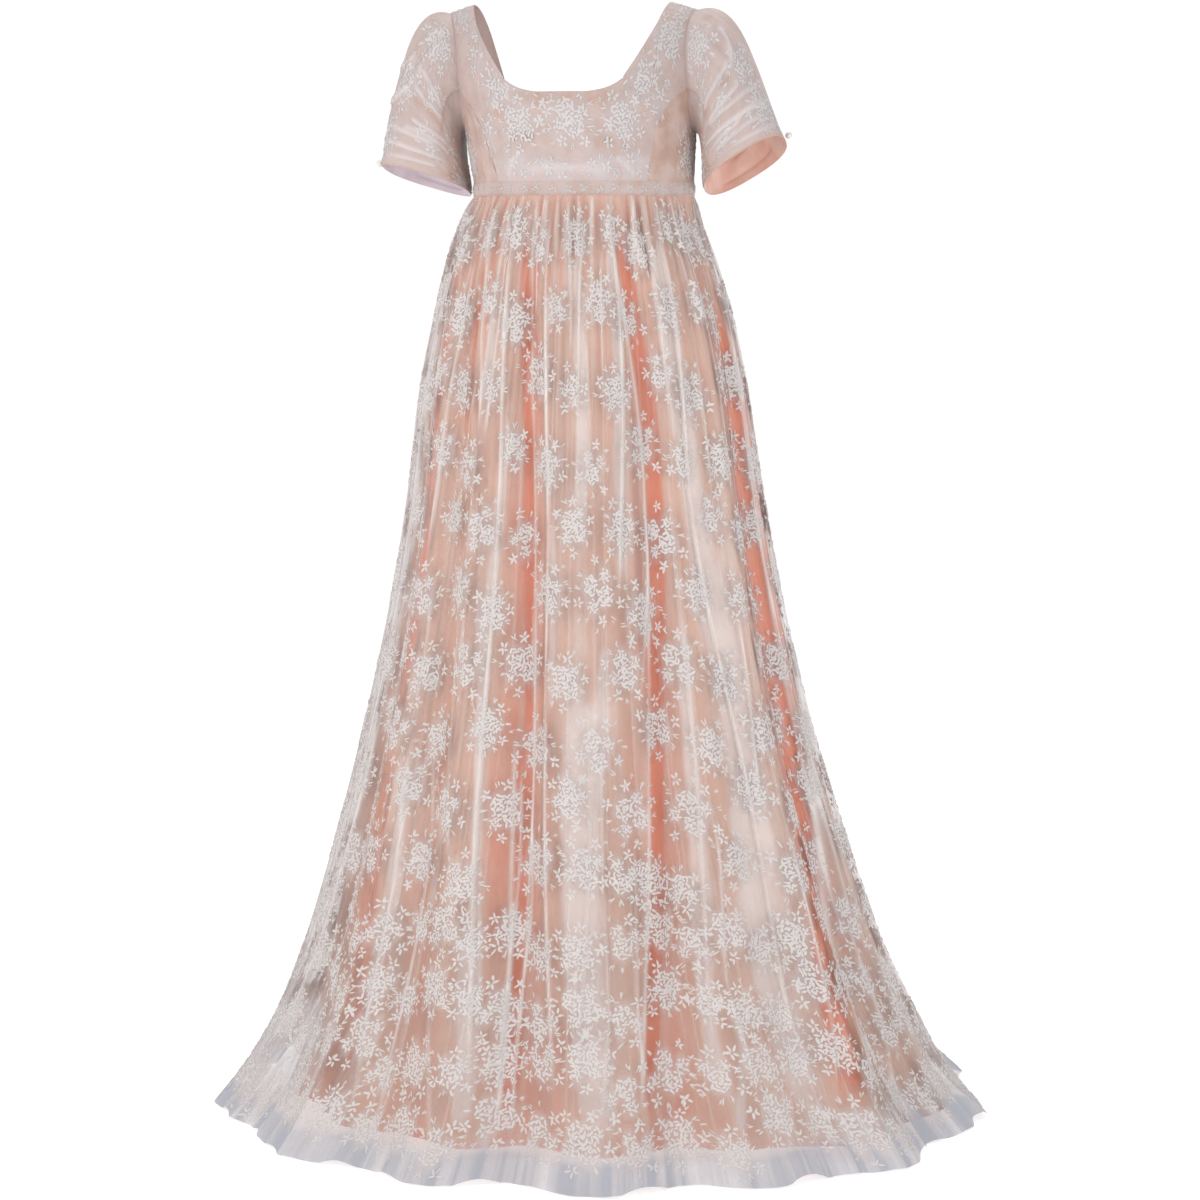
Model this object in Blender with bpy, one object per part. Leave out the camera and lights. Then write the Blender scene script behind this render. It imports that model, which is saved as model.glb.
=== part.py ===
"""A regency gown: fitted bodice, puffed sleeves, narrow band and a gathered skirt in two layers.

Metres, +Z up. The origin is midway between the tops of the two shoulder straps, the front
faces -Y and the wearer's left is +X. The skirt stands on the floor at z = FLOOR.
Each piece of cloth is a wall through points worked out from its sizes. Turns are degrees
round the body: 0 is the front, 90 the +X side, 180 the back.
"""

import bisect
import math

import bpy

FLOOR = -1.436
BAND_TOP = -0.2283
BAND_BOTTOM = -0.2463
SEAM_GAP = 0.0003
BODICE_WALL = 0.0016
BAND_WALL = 0.0030
SLEEVE_WALL = 0.0014
NET_WALL = 0.0013
SATIN_WALL = 0.0014

# The body's section at each height: half its width, and how far it reaches forward and back.
BODY_COLUMNS = ("height", "half_width", "front", "back")
BODY_SECTIONS = (
    (-0.2470, 0.1425, 0.1050, 0.1000),
    (-0.2280, 0.1430, 0.1075, 0.1005),
    (-0.2000, 0.1450, 0.1170, 0.1025),
    (-0.1650, 0.1485, 0.1260, 0.1060),
    (-0.1400, 0.1535, 0.1275, 0.1085),
    (-0.1100, 0.1590, 0.1210, 0.1110),
    (-0.0500, 0.1680, 0.1120, 0.1100),
    (0.0000, 0.1800, 0.1050, 0.1050),
)

# As the gown hangs, its band and skirt sit this far to the +X side of the shoulders.
SIDE_LEAN = 0.0140

# The strap rounds over the shoulder across this height, and its outer end lies lower.
SHOULDER_ROUNDING = 0.100
SHOULDER_DROP = 0.0106
STRAP_COLUMNS = ("climb", "front_neck_x", "back_neck_x", "armhole_x")
STRAP_EDGES = (
    (0.00, 0.0760, 0.1100, 0.1470),
    (0.17, 0.0930, 0.1150, 0.1470),
    (0.33, 0.1060, 0.1190, 0.1480),
    (0.50, 0.1165, 0.1220, 0.1500),
    (0.67, 0.1225, 0.1245, 0.1535),
    (0.83, 0.1262, 0.1265, 0.1580),
    (1.00, 0.1285, 0.1285, 0.1625),
)

# Edges of the panels, from the middle outwards.
NECK_COLUMNS = ("across", "front_x", "front_height", "back_x", "back_height")
NECK_EDGE = (
    (0.00, 0.0000, -0.1180, 0.0000, -0.1320),
    (0.33, 0.0280, -0.1180, 0.0400, -0.1310),
    (0.60, 0.0480, -0.1150, 0.0720, -0.1260),
    (0.80, 0.0630, -0.1090, 0.0930, -0.1160),
    (1.00, 0.0760, -0.1000, 0.1100, -0.1000),
)
PRINCESS_COLUMNS = ("along", "turn", "height")
PRINCESS_SEAM = (
    (0.00, 42.0, BAND_TOP),
    (0.35, 46.0, -0.1860),
    (0.65, 52.0, -0.1450),
    (0.85, 60.0, -0.1220),
    (1.00, 68.6, -0.1106),
)
UNDERARM_COLUMNS = ("along", "turn", "height")
UNDERARM_EDGE = (
    (0.00, 68.6, -0.1106),
    (0.35, 73.0, -0.1360),
    (0.70, 80.0, -0.1570),
    (1.00, 90.0, -0.1650),
)

# Where each sleeve's hem runs, from the buttoned outer side to the underarm.
SLEEVE_COLUMNS = ("side", "outer_x", "outer_z", "inner_x", "inner_z", "half_depth", "tilt", "middle_y")
SLEEVES = (
    ("left", -0.2620, -0.2085, -0.1500, -0.2400, 0.0530, 0.0100, -0.0040),
    ("right", 0.2650, -0.1770, 0.1580, -0.2380, 0.0530, 0.0150, -0.0040),
)
SLEEVE_HEAD_GAP = 0.0007
SLEEVE_PUFF = 0.064
SLEEVE_FALL = 0.050
SLEEVE_SQUARENESS = 0.76
CAP_GATHERS = 8
CAP_GATHER_DEPTH = 0.0020
CAP_REACH = 0.21
SLEEVE_ROWS = (0.0, 0.07, 0.17, 0.31, 0.47, 0.63, 0.78, 0.89, 1.0)
SLIT_START = 0.78
SLIT_WIDTHS = {0.89: 0.0060, 1.0: 0.0016}
PEARL_RADIUS = 0.0045
BUTTON_GAP = 0.0018

# The skirt's rings: how far each reaches, and how far inside it the satin hangs.
RING_COLUMNS = ("height", "left", "right", "front", "back", "lining_gap", "fold_share")
SKIRT_RINGS = (
    (-0.2463, 0.1427, 0.1427, 0.1052, 0.1002, 0.0018, 0.00),
    (-0.2620, 0.1530, 0.1475, 0.1085, 0.1040, 0.0055, 0.00),
    (-0.2850, 0.1620, 0.1530, 0.1145, 0.1110, 0.0075, 0.08),
    (-0.3300, 0.1760, 0.1690, 0.1250, 0.1270, 0.0085, 0.26),
    (-0.4000, 0.1910, 0.1890, 0.1390, 0.1500, 0.0095, 0.42),
    (-0.5000, 0.2090, 0.2090, 0.1560, 0.1790, 0.0105, 0.52),
    (-0.6200, 0.2220, 0.2270, 0.1760, 0.2090, 0.0115, 0.60),
    (-0.7600, 0.2440, 0.2520, 0.2020, 0.2420, 0.0130, 0.68),
    (-0.9200, 0.2780, 0.2890, 0.2360, 0.2840, 0.0140, 0.78),
    (-1.0800, 0.3190, 0.3380, 0.2720, 0.3280, 0.0200, 0.86),
    (-1.2000, 0.3540, 0.3790, 0.3060, 0.3680, 0.0310, 0.92),
    (-1.3000, 0.3920, 0.4260, 0.3400, 0.4120, 0.0480, 0.96),
    (-1.3700, 0.4310, 0.4640, 0.3680, 0.4460, 0.0620, 1.00),
    (-1.4100, 0.4600, 0.4960, 0.3960, 0.4700, 0.0740, 1.00),
    (-1.4350, 0.4790, 0.5170, 0.4240, 0.4960, 0.0800, 0.95),
)
NET_TOP_ROWS = (-0.2463, -0.2620, -0.2850, -0.3300)
NET_ROWS = (
    -0.3300, -0.4000, -0.5100, -0.6500, -0.8200, -0.9900,
    -1.1500, -1.2700, -1.3500, -1.4050, -1.4350,
)
SATIN_ROWS = (-0.2463, -0.2850, -0.3600, -0.5200, -0.7400, -0.9800, -1.1800, -1.3200, -1.4160)
GATHERS = 56
GATHER_COLUMNS = ("height", "depth")
GATHER_DEPTHS = (
    (-0.2463, 0.0003),
    (-0.2620, 0.0014),
    (-0.2850, 0.0028),
    (-0.3300, 0.0000),
)
NET_COLUMNS = 2 * GATHERS
SATIN_COLUMNS = 84

# The skirt's main folds: where each starts at the top, passes at knee height and ends at the
# hem, half its width in degrees, and its depth at the hem, outwards or (negative) inwards.
FOLD_COLUMNS = ("top", "knee", "hem", "half_width", "depth")
FOLDS = (
    (-17.8, -8.0, -2.5, 5.4, -0.030),
    (27.6, 31.0, 23.0, 5.4, -0.026),
    (76.0, 74.0, 70.0, 5.4, -0.022),
    (-6.0, 1.0, 8.0, 6.0, 0.014),
    (12.0, 14.0, 14.0, 5.0, 0.010),
    (41.0, 42.0, 34.0, 6.0, 0.012),
    (58.0, 57.0, 56.0, 6.0, 0.024),
    (88.0, 90.0, 92.0, 7.0, 0.012),
    (-38.0, -27.0, -15.0, 5.5, 0.014),
    (-47.0, -38.0, -27.0, 5.2, -0.014),
    (-57.0, -50.0, -41.0, 6.0, 0.014),
    (-68.0, -64.0, -58.0, 5.5, -0.018),
    (-81.0, -79.0, -77.0, 6.0, 0.012),
    (-97.0, -99.0, -100.0, 6.0, -0.016),
    (-113.0, -114.0, -116.0, 7.0, 0.016),
    (-129.0, -130.0, -133.0, 6.0, -0.020),
    (-145.0, -147.0, -150.0, 7.0, 0.018),
    (-161.0, -163.0, -167.0, 6.0, -0.022),
    (-177.0, -178.0, 177.0, 7.0, 0.018),
    (167.0, 165.0, 161.0, 5.5, -0.020),
    (151.0, 149.0, 146.0, 7.0, 0.018),
    (136.0, 134.0, 130.0, 6.0, -0.020),
    (119.0, 118.0, 115.0, 7.0, 0.014),
    (103.0, 103.0, 104.0, 5.5, -0.014),
)


def column(table, names, name):
    return [row[names.index(name)] for row in table]


def smooth(xs, ys, x):
    """The value at x of a curve through the points that keeps rising or falling as they do."""
    if xs[0] > xs[-1]:
        xs, ys = xs[::-1], ys[::-1]
    if x <= xs[0]:
        return ys[0]
    if x >= xs[-1]:
        return ys[-1]
    i = bisect.bisect_right(xs, x) - 1
    slopes = [(ys[k + 1] - ys[k]) / (xs[k + 1] - xs[k]) for k in range(len(xs) - 1)]

    def slope_at(k):
        if k == 0 or k == len(xs) - 1:
            return slopes[min(k, len(slopes) - 1)]
        before, after = slopes[k - 1], slopes[k]
        return 0.0 if before * after <= 0 else 2 * before * after / (before + after)

    step = xs[i + 1] - xs[i]
    t = (x - xs[i]) / step
    start, end = slope_at(i) * step, slope_at(i + 1) * step
    return (
        ys[i] * (2 * t**3 - 3 * t**2 + 1)
        + start * (t**3 - 2 * t**2 + t)
        + ys[i + 1] * (3 * t**2 - 2 * t**3)
        + end * (t**3 - t**2)
    )


def lookup(table, names, key, name, at):
    return smooth(column(table, names, key), column(table, names, name), at)


def plus(a, b, share=1.0):
    return tuple(p + share * q for p, q in zip(a, b))


def minus(a, b):
    return tuple(p - q for p, q in zip(a, b))


def cross(a, b):
    return (
        a[1] * b[2] - a[2] * b[1],
        a[2] * b[0] - a[0] * b[2],
        a[0] * b[1] - a[1] * b[0],
    )


def unit(a):
    size = math.sqrt(sum(p * p for p in a)) or 1.0
    return tuple(p / size for p in a)


# ---- from points to closed walls ----


def grid_faces(rows, columns, wrap=False):
    """Quads of a grid of rows by columns points, numbered row by row."""
    faces = []
    for r in range(rows - 1):
        for c in range(columns if wrap else columns - 1):
            after = (c + 1) % columns
            faces.append((r * columns + c, r * columns + after, (r + 1) * columns + after, (r + 1) * columns + c))
    return faces


def key_of(point):
    return tuple(round(p, 6) for p in point)


def shared_normals(panels):
    """A normal at each place, from the faces of all the panels that meet there."""
    sums = {}
    for points, faces in panels:
        for face in faces:
            corners = [points[i] for i in face]
            centre = tuple(sum(axis) / len(corners) for axis in zip(*corners))
            total = (0.0, 0.0, 0.0)
            for a, b in zip(corners, corners[1:] + corners[:1]):
                total = plus(total, cross(minus(a, centre), minus(b, centre)))
            for corner in corners:
                key = key_of(corner)
                sums[key] = plus(sums.get(key, (0.0, 0.0, 0.0)), total)
    return {key: unit(total) for key, total in sums.items()}


def edge_walk(faces):
    """The directed edges that only one face has."""
    directed = set()
    for face in faces:
        for a, b in zip(face, face[1:] + face[:1]):
            directed.add((a, b))
    return [(a, b) for a, b in directed if (b, a) not in directed]


def drawn_in(points, faces, normals, distance):
    """The points with the panel's edges moved inwards along the cloth."""
    moves = {}
    for a, b in sorted(edge_walk(faces)):
        along = unit(minus(points[b], points[a]))
        for i in (a, b):
            inward = unit(cross(normals[i], along))
            moves.setdefault(i, []).append(inward)
    moved = list(points)
    for i, found in moves.items():
        total = (0.0, 0.0, 0.0)
        for inward in found:
            total = plus(total, inward)
        direction = unit(total)
        least = min(max(sum(p * q for p, q in zip(direction, inward)), 0.5) for inward in found)
        moved[i] = plus(points[i], direction, distance / least)
    return moved


def material_named(name, colour, roughness):
    material = bpy.data.materials.get(name)
    if material:
        return material
    material = bpy.data.materials.new(name)
    material.use_nodes = True
    shader = material.node_tree.nodes["Principled BSDF"]
    shader.inputs["Base Color"].default_value = (*colour, 1.0)
    shader.inputs["Roughness"].default_value = roughness
    shader.inputs["Metallic"].default_value = 0.0
    material.diffuse_color = (*colour, 1.0)
    return material


def add_object(name, points, faces, look):
    mesh = bpy.data.meshes.new(name)
    mesh.from_pydata(points, [], faces)
    mesh.polygons.foreach_set("use_smooth", [True] * len(mesh.polygons))
    mesh.materials.append(material_named(*look))
    mesh.update()
    thing = bpy.data.objects.new(name, mesh)
    bpy.context.scene.collection.objects.link(thing)
    return thing


def triangles_of(points, faces):
    """Each face of four split across its shorter way, so both sides of a wall are split alike."""
    triangles = []
    for face in faces:
        if len(face) == 3:
            triangles.append(face)
            continue
        a, b, c, d = face
        if math.dist(points[a], points[c]) < math.dist(points[b], points[d]) + 1e-7:
            triangles += [(a, b, c), (a, c, d)]
        else:
            triangles += [(a, b, d), (b, c, d)]
    return triangles


def add_wall(name, points, faces, normals_at, wall, look):
    """A closed wall whose outer side runs through the points, its edges drawn in by half a gap."""
    faces = triangles_of(points, faces)
    normals = [normals_at[key_of(p)] for p in points]
    outer = drawn_in(points, faces, normals, SEAM_GAP / 2)
    inner = [plus(p, n, -wall) for p, n in zip(outer, normals)]
    count = len(points)
    closed = [tuple(face) for face in faces]
    closed += [tuple(i + count for i in reversed(face)) for face in faces]
    closed += [(b, a, a + count, b + count) for a, b in sorted(edge_walk(faces))]
    return add_object(name, outer + inner, closed, look)


def leaned(point):
    """The point moved sideways, more with its depth below the shoulders as far as the band."""
    share = min(max(point[2] / BAND_TOP, 0.0), 1.0)
    return (point[0] + SIDE_LEAN * share, point[1], point[2])


def add_walls(panels, wall, look):
    """Walls of panels that meet at seams, as {name: (points, faces)}."""
    panels = {name: ([leaned(p) for p in points], faces) for name, (points, faces) in panels.items()}
    normals_at = shared_normals(panels.values())
    for name, (points, faces) in panels.items():
        add_wall(name, points, faces, normals_at, wall, look)


# ---- the bodice ----


def body_point(turn, height):
    """A point of the body's form, which rounds over at the shoulder."""
    half = lookup(BODY_SECTIONS, BODY_COLUMNS, "height", "half_width", height)
    side = math.sin(math.radians(turn))
    ahead = math.cos(math.radians(turn))
    depth = lookup(BODY_SECTIONS, BODY_COLUMNS, "height", "front" if ahead > 0 else "back", height)
    start = crest(half * abs(side)) - SHOULDER_ROUNDING
    if height > start:
        share = min((height - start) / SHOULDER_ROUNDING, 1.0)
        depth *= math.sqrt(1.0 - share * share)
    return (half * side, -depth * ahead, height)


def crest(x):
    """The height of the shoulder seam at this distance from the middle."""
    neck, outer = STRAP_EDGES[-1][1], STRAP_EDGES[-1][3]
    share = min(max((x - neck) / (outer - neck), 0.0), 1.0)
    return -SHOULDER_DROP * share


def turn_of(x, height):
    half = lookup(BODY_SECTIONS, BODY_COLUMNS, "height", "half_width", height)
    return math.degrees(math.asin(min(x / half, 1.0)))


def strap_place(climb, across, back):
    """(turn, height) on the strap: climb 0 to 1 up to the shoulder seam, across 0 at the neck."""
    neck = lookup(STRAP_EDGES, STRAP_COLUMNS, "climb", "back_neck_x" if back else "front_neck_x", climb)
    armhole = lookup(STRAP_EDGES, STRAP_COLUMNS, "climb", "armhole_x", climb)
    x = neck + (armhole - neck) * across
    drop = SHOULDER_DROP * across
    height = -drop - SHOULDER_ROUNDING * (1.0 - math.sin(climb * math.pi / 2))
    return turn_of(x, height), height


def strap_point(climb, across, back):
    turn, height = strap_place(climb, across, back)
    half = lookup(BODY_SECTIONS, BODY_COLUMNS, "height", "half_width", height)
    depth = lookup(BODY_SECTIONS, BODY_COLUMNS, "height", "back" if back else "front", height)
    reach = depth * math.cos(math.radians(turn)) * math.cos(climb * math.pi / 2)
    return (half * math.sin(math.radians(turn)), reach if back else -reach, height)


def seam_place(table, names, along):
    return (
        lookup(table, names, "along", "turn", along),
        lookup(table, names, "along", "height", along),
    )


def neck_place(across, back):
    name = "back" if back else "front"
    x = lookup(NECK_EDGE, NECK_COLUMNS, "across", name + "_x", across)
    height = lookup(NECK_EDGE, NECK_COLUMNS, "across", name + "_height", across)
    return turn_of(x, height), height


def coons(bottom, top, left, right):
    """Rows of (turn, height) filling in four edges given as lists of places."""
    across, up = len(bottom) - 1, len(left) - 1
    rows = []
    for j in range(up + 1):
        v = j / up
        row = []
        for i in range(across + 1):
            u = i / across
            row.append(tuple(
                (1 - v) * bottom[i][k] + v * top[i][k] + (1 - u) * left[j][k] + u * right[j][k]
                - (1 - u) * (1 - v) * bottom[0][k] - u * (1 - v) * bottom[-1][k]
                - (1 - u) * v * top[0][k] - u * v * top[-1][k]
                for k in (0, 1)
            ))
        rows.append(row)
    return rows


STRAP_ACROSS = 4
STRAP_CLIMB = 6
NECK_STEPS = 6
PANEL_STEPS = 6
SIDE_STEPS = 5


def steps(count):
    return [i / count for i in range(count + 1)]


def half_top(back):
    """The upper edge of the main part of a front or back, from the middle to the armhole."""
    places = [neck_place(s, back) for s in steps(NECK_STEPS)]
    return places + [strap_place(0.0, s, back) for s in steps(STRAP_ACROSS)[1:]]


def add_strap(points, faces, top_row, back, side):
    """A strap carried on from the top row of points, listed from the neck to the armhole."""
    before = top_row
    for climb in steps(STRAP_CLIMB)[1:]:
        row = []
        for across in steps(STRAP_ACROSS):
            x, y, z = strap_point(climb, across, back)
            points.append((side * x, y, z))
            row.append(len(points) - 1)
        for i in range(STRAP_ACROSS):
            face = (before[i], before[i + 1], row[i + 1], row[i])
            turned = (side < 0) != back
            faces.append(tuple(reversed(face)) if turned else face)
        before = row


def front_panel():
    top = half_top(False)
    top = [(-turn, height) for turn, height in reversed(top)] + top[1:]
    seam = [seam_place(PRINCESS_SEAM, PRINCESS_COLUMNS, s) for s in steps(PANEL_STEPS)]
    right = seam
    left = [(-turn, height) for turn, height in seam]
    count = len(top) - 1
    reach = seam[0][0]
    bottom = [(-reach + 2 * reach * s, BAND_TOP) for s in steps(count)]
    rows = coons(bottom, top, left, right)
    points = [body_point(*place) for row in rows for place in row]
    faces = grid_faces(len(rows), count + 1)
    last = len(points) - count - 1
    add_strap(points, faces, [last + count - STRAP_ACROSS + i for i in range(STRAP_ACROSS + 1)], False, 1)
    add_strap(points, faces, [last + STRAP_ACROSS - i for i in range(STRAP_ACROSS + 1)], False, -1)
    return points, faces


def side_front_panel(side):
    seam = [seam_place(PRINCESS_SEAM, PRINCESS_COLUMNS, s) for s in steps(PANEL_STEPS)]
    top = [seam_place(UNDERARM_EDGE, UNDERARM_COLUMNS, s) for s in steps(SIDE_STEPS)]
    bottom = [(seam[0][0] + (90.0 - seam[0][0]) * s, BAND_TOP) for s in steps(SIDE_STEPS)]
    edge = [(90.0, BAND_TOP + (top[-1][1] - BAND_TOP) * s) for s in steps(PANEL_STEPS)]
    rows = coons(bottom, top, seam, edge)
    return mirrored([body_point(*place) for row in rows for place in row],
                    grid_faces(len(rows), SIDE_STEPS + 1), side)


def back_panel(side):
    """From the side seam round to the middle of the back, with its strap."""
    under = [seam_place(UNDERARM_EDGE, UNDERARM_COLUMNS, s) for s in steps(SIDE_STEPS)]
    top = [(180.0 - turn, height) for turn, height in reversed(under)]
    half = [(180.0 - turn, height) for turn, height in reversed(half_top(True))]
    top += half[1:]
    count = len(top) - 1
    bottom = [(90.0 + 90.0 * s, BAND_TOP) for s in steps(count)]
    left = [(90.0, BAND_TOP + (top[0][1] - BAND_TOP) * s) for s in steps(PANEL_STEPS)]
    right = [(180.0, BAND_TOP + (top[-1][1] - BAND_TOP) * s) for s in steps(PANEL_STEPS)]
    rows = coons(bottom, top, left, right)
    points = [body_point(*place) for row in rows for place in row]
    faces = grid_faces(len(rows), count + 1)
    last = len(points) - count - 1
    neck_end = last + SIDE_STEPS + STRAP_ACROSS
    add_strap(points, faces, [neck_end - i for i in range(STRAP_ACROSS + 1)], True, 1)
    return mirrored(points, faces, side)


def mirrored(points, faces, side):
    if side > 0:
        return points, faces
    return [(-x, y, z) for x, y, z in points], [tuple(reversed(face)) for face in faces]


def bodice():
    return {
        "bodice_front": front_panel(),
        "bodice_side_front_left": side_front_panel(-1),
        "bodice_side_front_right": side_front_panel(1),
        "bodice_back_left": back_panel(-1),
        "bodice_back_right": back_panel(1),
    }


def waistband():
    """One strip round from the middle of the back to the middle of the back."""
    count = 56
    points = []
    for height in (BAND_BOTTOM, BAND_TOP):
        for i in range(count + 1):
            turn = -180.0 + 360.0 * i / count
            x, y, z = body_point(turn, height)
            out = unit((x, y * 1.6, 0.0))
            points.append(plus((x, y, z), out, 0.0005))
    return points, grid_faces(2, count + 1)


# ---- the sleeves ----


def armhole_edge(back):
    """The armhole's front or back edge on the +X side, from the shoulder seam to the underarm."""
    edge = [strap_point(climb, 1.0, back) for climb in reversed(steps(STRAP_CLIMB))]
    for s in steps(SIDE_STEPS)[1:]:
        turn, height = seam_place(UNDERARM_EDGE, UNDERARM_COLUMNS, s)
        edge.append(body_point(180.0 - turn if back else turn, height))
    return edge


def along_edge(edge, share):
    """The point this share of the way along a line of points."""
    lengths = [0.0]
    for a, b in zip(edge, edge[1:]):
        lengths.append(lengths[-1] + math.dist(a, b))
    wanted = share * lengths[-1]
    i = min(max(bisect.bisect_right(lengths, wanted) - 1, 0), len(edge) - 2)
    t = (wanted - lengths[i]) / (lengths[i + 1] - lengths[i])
    return plus(edge[i], minus(edge[i + 1], edge[i]), t)


def sleeve_turns():
    """Where the sleeve's columns stand round it, closer together over the gathered cap."""
    cap = [CAP_REACH * i / (2 * CAP_GATHERS) for i in range(2 * CAP_GATHERS + 1)]
    rest = [CAP_REACH + (0.5 - CAP_REACH) * i / 8 for i in range(1, 9)]
    half = cap + rest
    return half + [1.0 - p for p in reversed(half[1:-1])] + [1.0]


def sleeve_point(row, p, v, edges):
    """A point of the sleeve: p runs round it from the outer side by the front, v from head to hem."""
    side, outer_x, outer_z, inner_x, inner_z, half_depth, tilt, middle_y = row
    sign = 1.0 if side == "right" else -1.0
    front, back = edges
    head = along_edge(front, 2 * p) if p <= 0.5 else along_edge(back, 2 * (1 - p))
    head = (head[0] + SLEEVE_HEAD_GAP, head[1], head[2])
    turn = 2 * math.pi * p
    middle = ((abs(outer_x) + abs(inner_x)) / 2, middle_y, (outer_z + inner_z) / 2)
    long_axis = ((abs(outer_x) - abs(inner_x)) / 2, 0.0, (outer_z - inner_z) / 2)
    deep_axis = (0.0, -half_depth, tilt)
    around = (math.cos(turn), math.sin(turn))
    along, deep = (math.copysign(abs(share) ** SLEEVE_SQUARENESS, share) for share in around)
    hem = plus(plus(middle, long_axis, along), deep_axis, deep)
    down = unit((-long_axis[2] * -1.0, 0.0, -long_axis[0]))
    radial = (0.0, -math.sin(turn), math.cos(turn))
    out = unit((1.0, 0.42 * radial[1], 0.28 * radial[2]))
    puff = SLEEVE_PUFF * (0.62 + 0.38 * math.cos(turn))
    fall = SLEEVE_FALL * (0.60 + 0.40 * math.cos(turn))
    leave = plus(head, out, puff)
    arrive = plus(plus(hem, down, -fall), radial, 0.006)
    weights = ((1 - v) ** 3, 3 * v * (1 - v) ** 2, 3 * v * v * (1 - v), v**3)
    point = (0.0, 0.0, 0.0)
    for weight, corner in zip(weights, (head, leave, arrive, hem)):
        point = plus(point, corner, weight)
    near = min(p, 1.0 - p)
    if near < CAP_REACH:
        window = math.cos(math.pi / 2 * near / CAP_REACH) ** 0.5
        fade = math.sin(math.pi * min(v / 0.40, 1.0)) if v < 0.40 else 0.0
        wave = math.cos(2 * math.pi * near / CAP_REACH * CAP_GATHERS / 2)
        lift = CAP_GATHER_DEPTH * window * fade * wave
        point = plus(point, unit((0.5, radial[1], radial[2])), lift)
    return (sign * point[0], point[1], point[2])


def sleeve(row):
    """The sleeve as one sheet, open along its slit, and the place of its button."""
    edges = (armhole_edge(False), armhole_edge(True))
    turns = sleeve_turns()
    points = []
    numbers = []
    for v in SLEEVE_ROWS:
        line = [sleeve_point(row, p, v, edges) for p in turns]
        ring = []
        slit = v > SLIT_START
        if slit:
            across = SLIT_WIDTHS[v] / 2
            line[0] = plus(line[0], unit(minus(line[1], line[0])), across)
            line[-1] = plus(line[-1], unit(minus(line[-2], line[-1])), across)
        for i, point in enumerate(line):
            if i == len(line) - 1 and not slit:
                ring.append(ring[0])
                continue
            points.append(point)
            ring.append(len(points) - 1)
        numbers.append(ring)
    faces = []
    for upper, lower in zip(numbers, numbers[1:]):
        for i in range(len(turns) - 1):
            face = (upper[i], upper[i + 1], lower[i + 1], lower[i])
            faces.append(face if row[0] == "left" else tuple(reversed(face)))
    hem_start, hem_end = points[numbers[-1][0]], points[numbers[-1][-1]]
    middle = plus(hem_start, minus(hem_end, hem_start), 0.5)
    above = sleeve_point(row, 0.0, 0.93, edges)
    centre = plus(middle, minus(above, middle), 0.35)
    out = unit((row[1] - row[3], 0.0, row[2] - row[4]))
    return points, faces, plus(centre, out, PEARL_RADIUS + BUTTON_GAP)


def add_pearl(name, centre):
    rings, around = 8, 14
    points = [plus(centre, (0.0, 0.0, PEARL_RADIUS))]
    for i in range(1, rings):
        tall = math.pi * i / rings
        for j in range(around):
            turn = 2 * math.pi * j / around
            offset = (math.sin(tall) * math.cos(turn), math.sin(tall) * math.sin(turn), math.cos(tall))
            points.append(plus(centre, offset, PEARL_RADIUS))
    points.append(plus(centre, (0.0, 0.0, -PEARL_RADIUS)))
    faces = [(0, 1 + j, 1 + (j + 1) % around) for j in range(around)]
    for i in range(rings - 2):
        for j in range(around):
            a, b = 1 + i * around + j, 1 + i * around + (j + 1) % around
            faces.append((a, a + around, b + around, b))
    last = len(points) - 1
    base = last - around
    faces += [(last, base + (j + 1) % around, base + j) for j in range(around)]
    add_object(name, points, faces, PEARL)


# ---- the skirt ----


def ring_value(name, height):
    return lookup(SKIRT_RINGS, RING_COLUMNS, "height", name, height)


def fold_turn(fold, height):
    """Where a fold has got to at this height, between its top, knee and hem turns."""
    top, knee, hem, _, _ = fold
    if hem < knee - 180.0:
        hem += 360.0
    if hem > knee + 180.0:
        hem -= 360.0
    return smooth([-0.28, -0.75, -1.42], [top, knee, hem], height)


def fold_lift(turn, height, lining=False):
    """How far the main folds move the cloth out; the satin lies softer in them than the net."""
    share = ring_value("fold_share", height)
    total = 0.0
    for fold in FOLDS:
        off = (turn - fold_turn(fold, height) + 180.0) % 360.0 - 180.0
        width, depth = fold[3], fold[4]
        if lining:
            width, depth = width + 1.5, (depth if depth < 0 else 0.75 * depth)
        total += depth * math.exp(-((off / width) ** 2))
    return share * total


def gather_lift(turn, height):
    if height <= GATHER_DEPTHS[-1][0]:
        return 0.0
    depth = lookup(GATHER_DEPTHS, GATHER_COLUMNS, "height", "depth", height)
    return depth * math.cos(math.radians(GATHERS * turn))


def skirt_point(turn, height, lift, gap=0.0):
    """A point of a skirt ring moved out by lift, or in by gap, level with the floor."""
    side = math.sin(math.radians(turn))
    ahead = math.cos(math.radians(turn))
    wide = ring_value("right" if side > 0 else "left", height)
    deep = ring_value("front" if ahead > 0 else "back", height)
    out = unit((deep * side, -wide * ahead, 0.0))
    return plus((wide * side, -deep * ahead, height), out, lift - gap)


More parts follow.
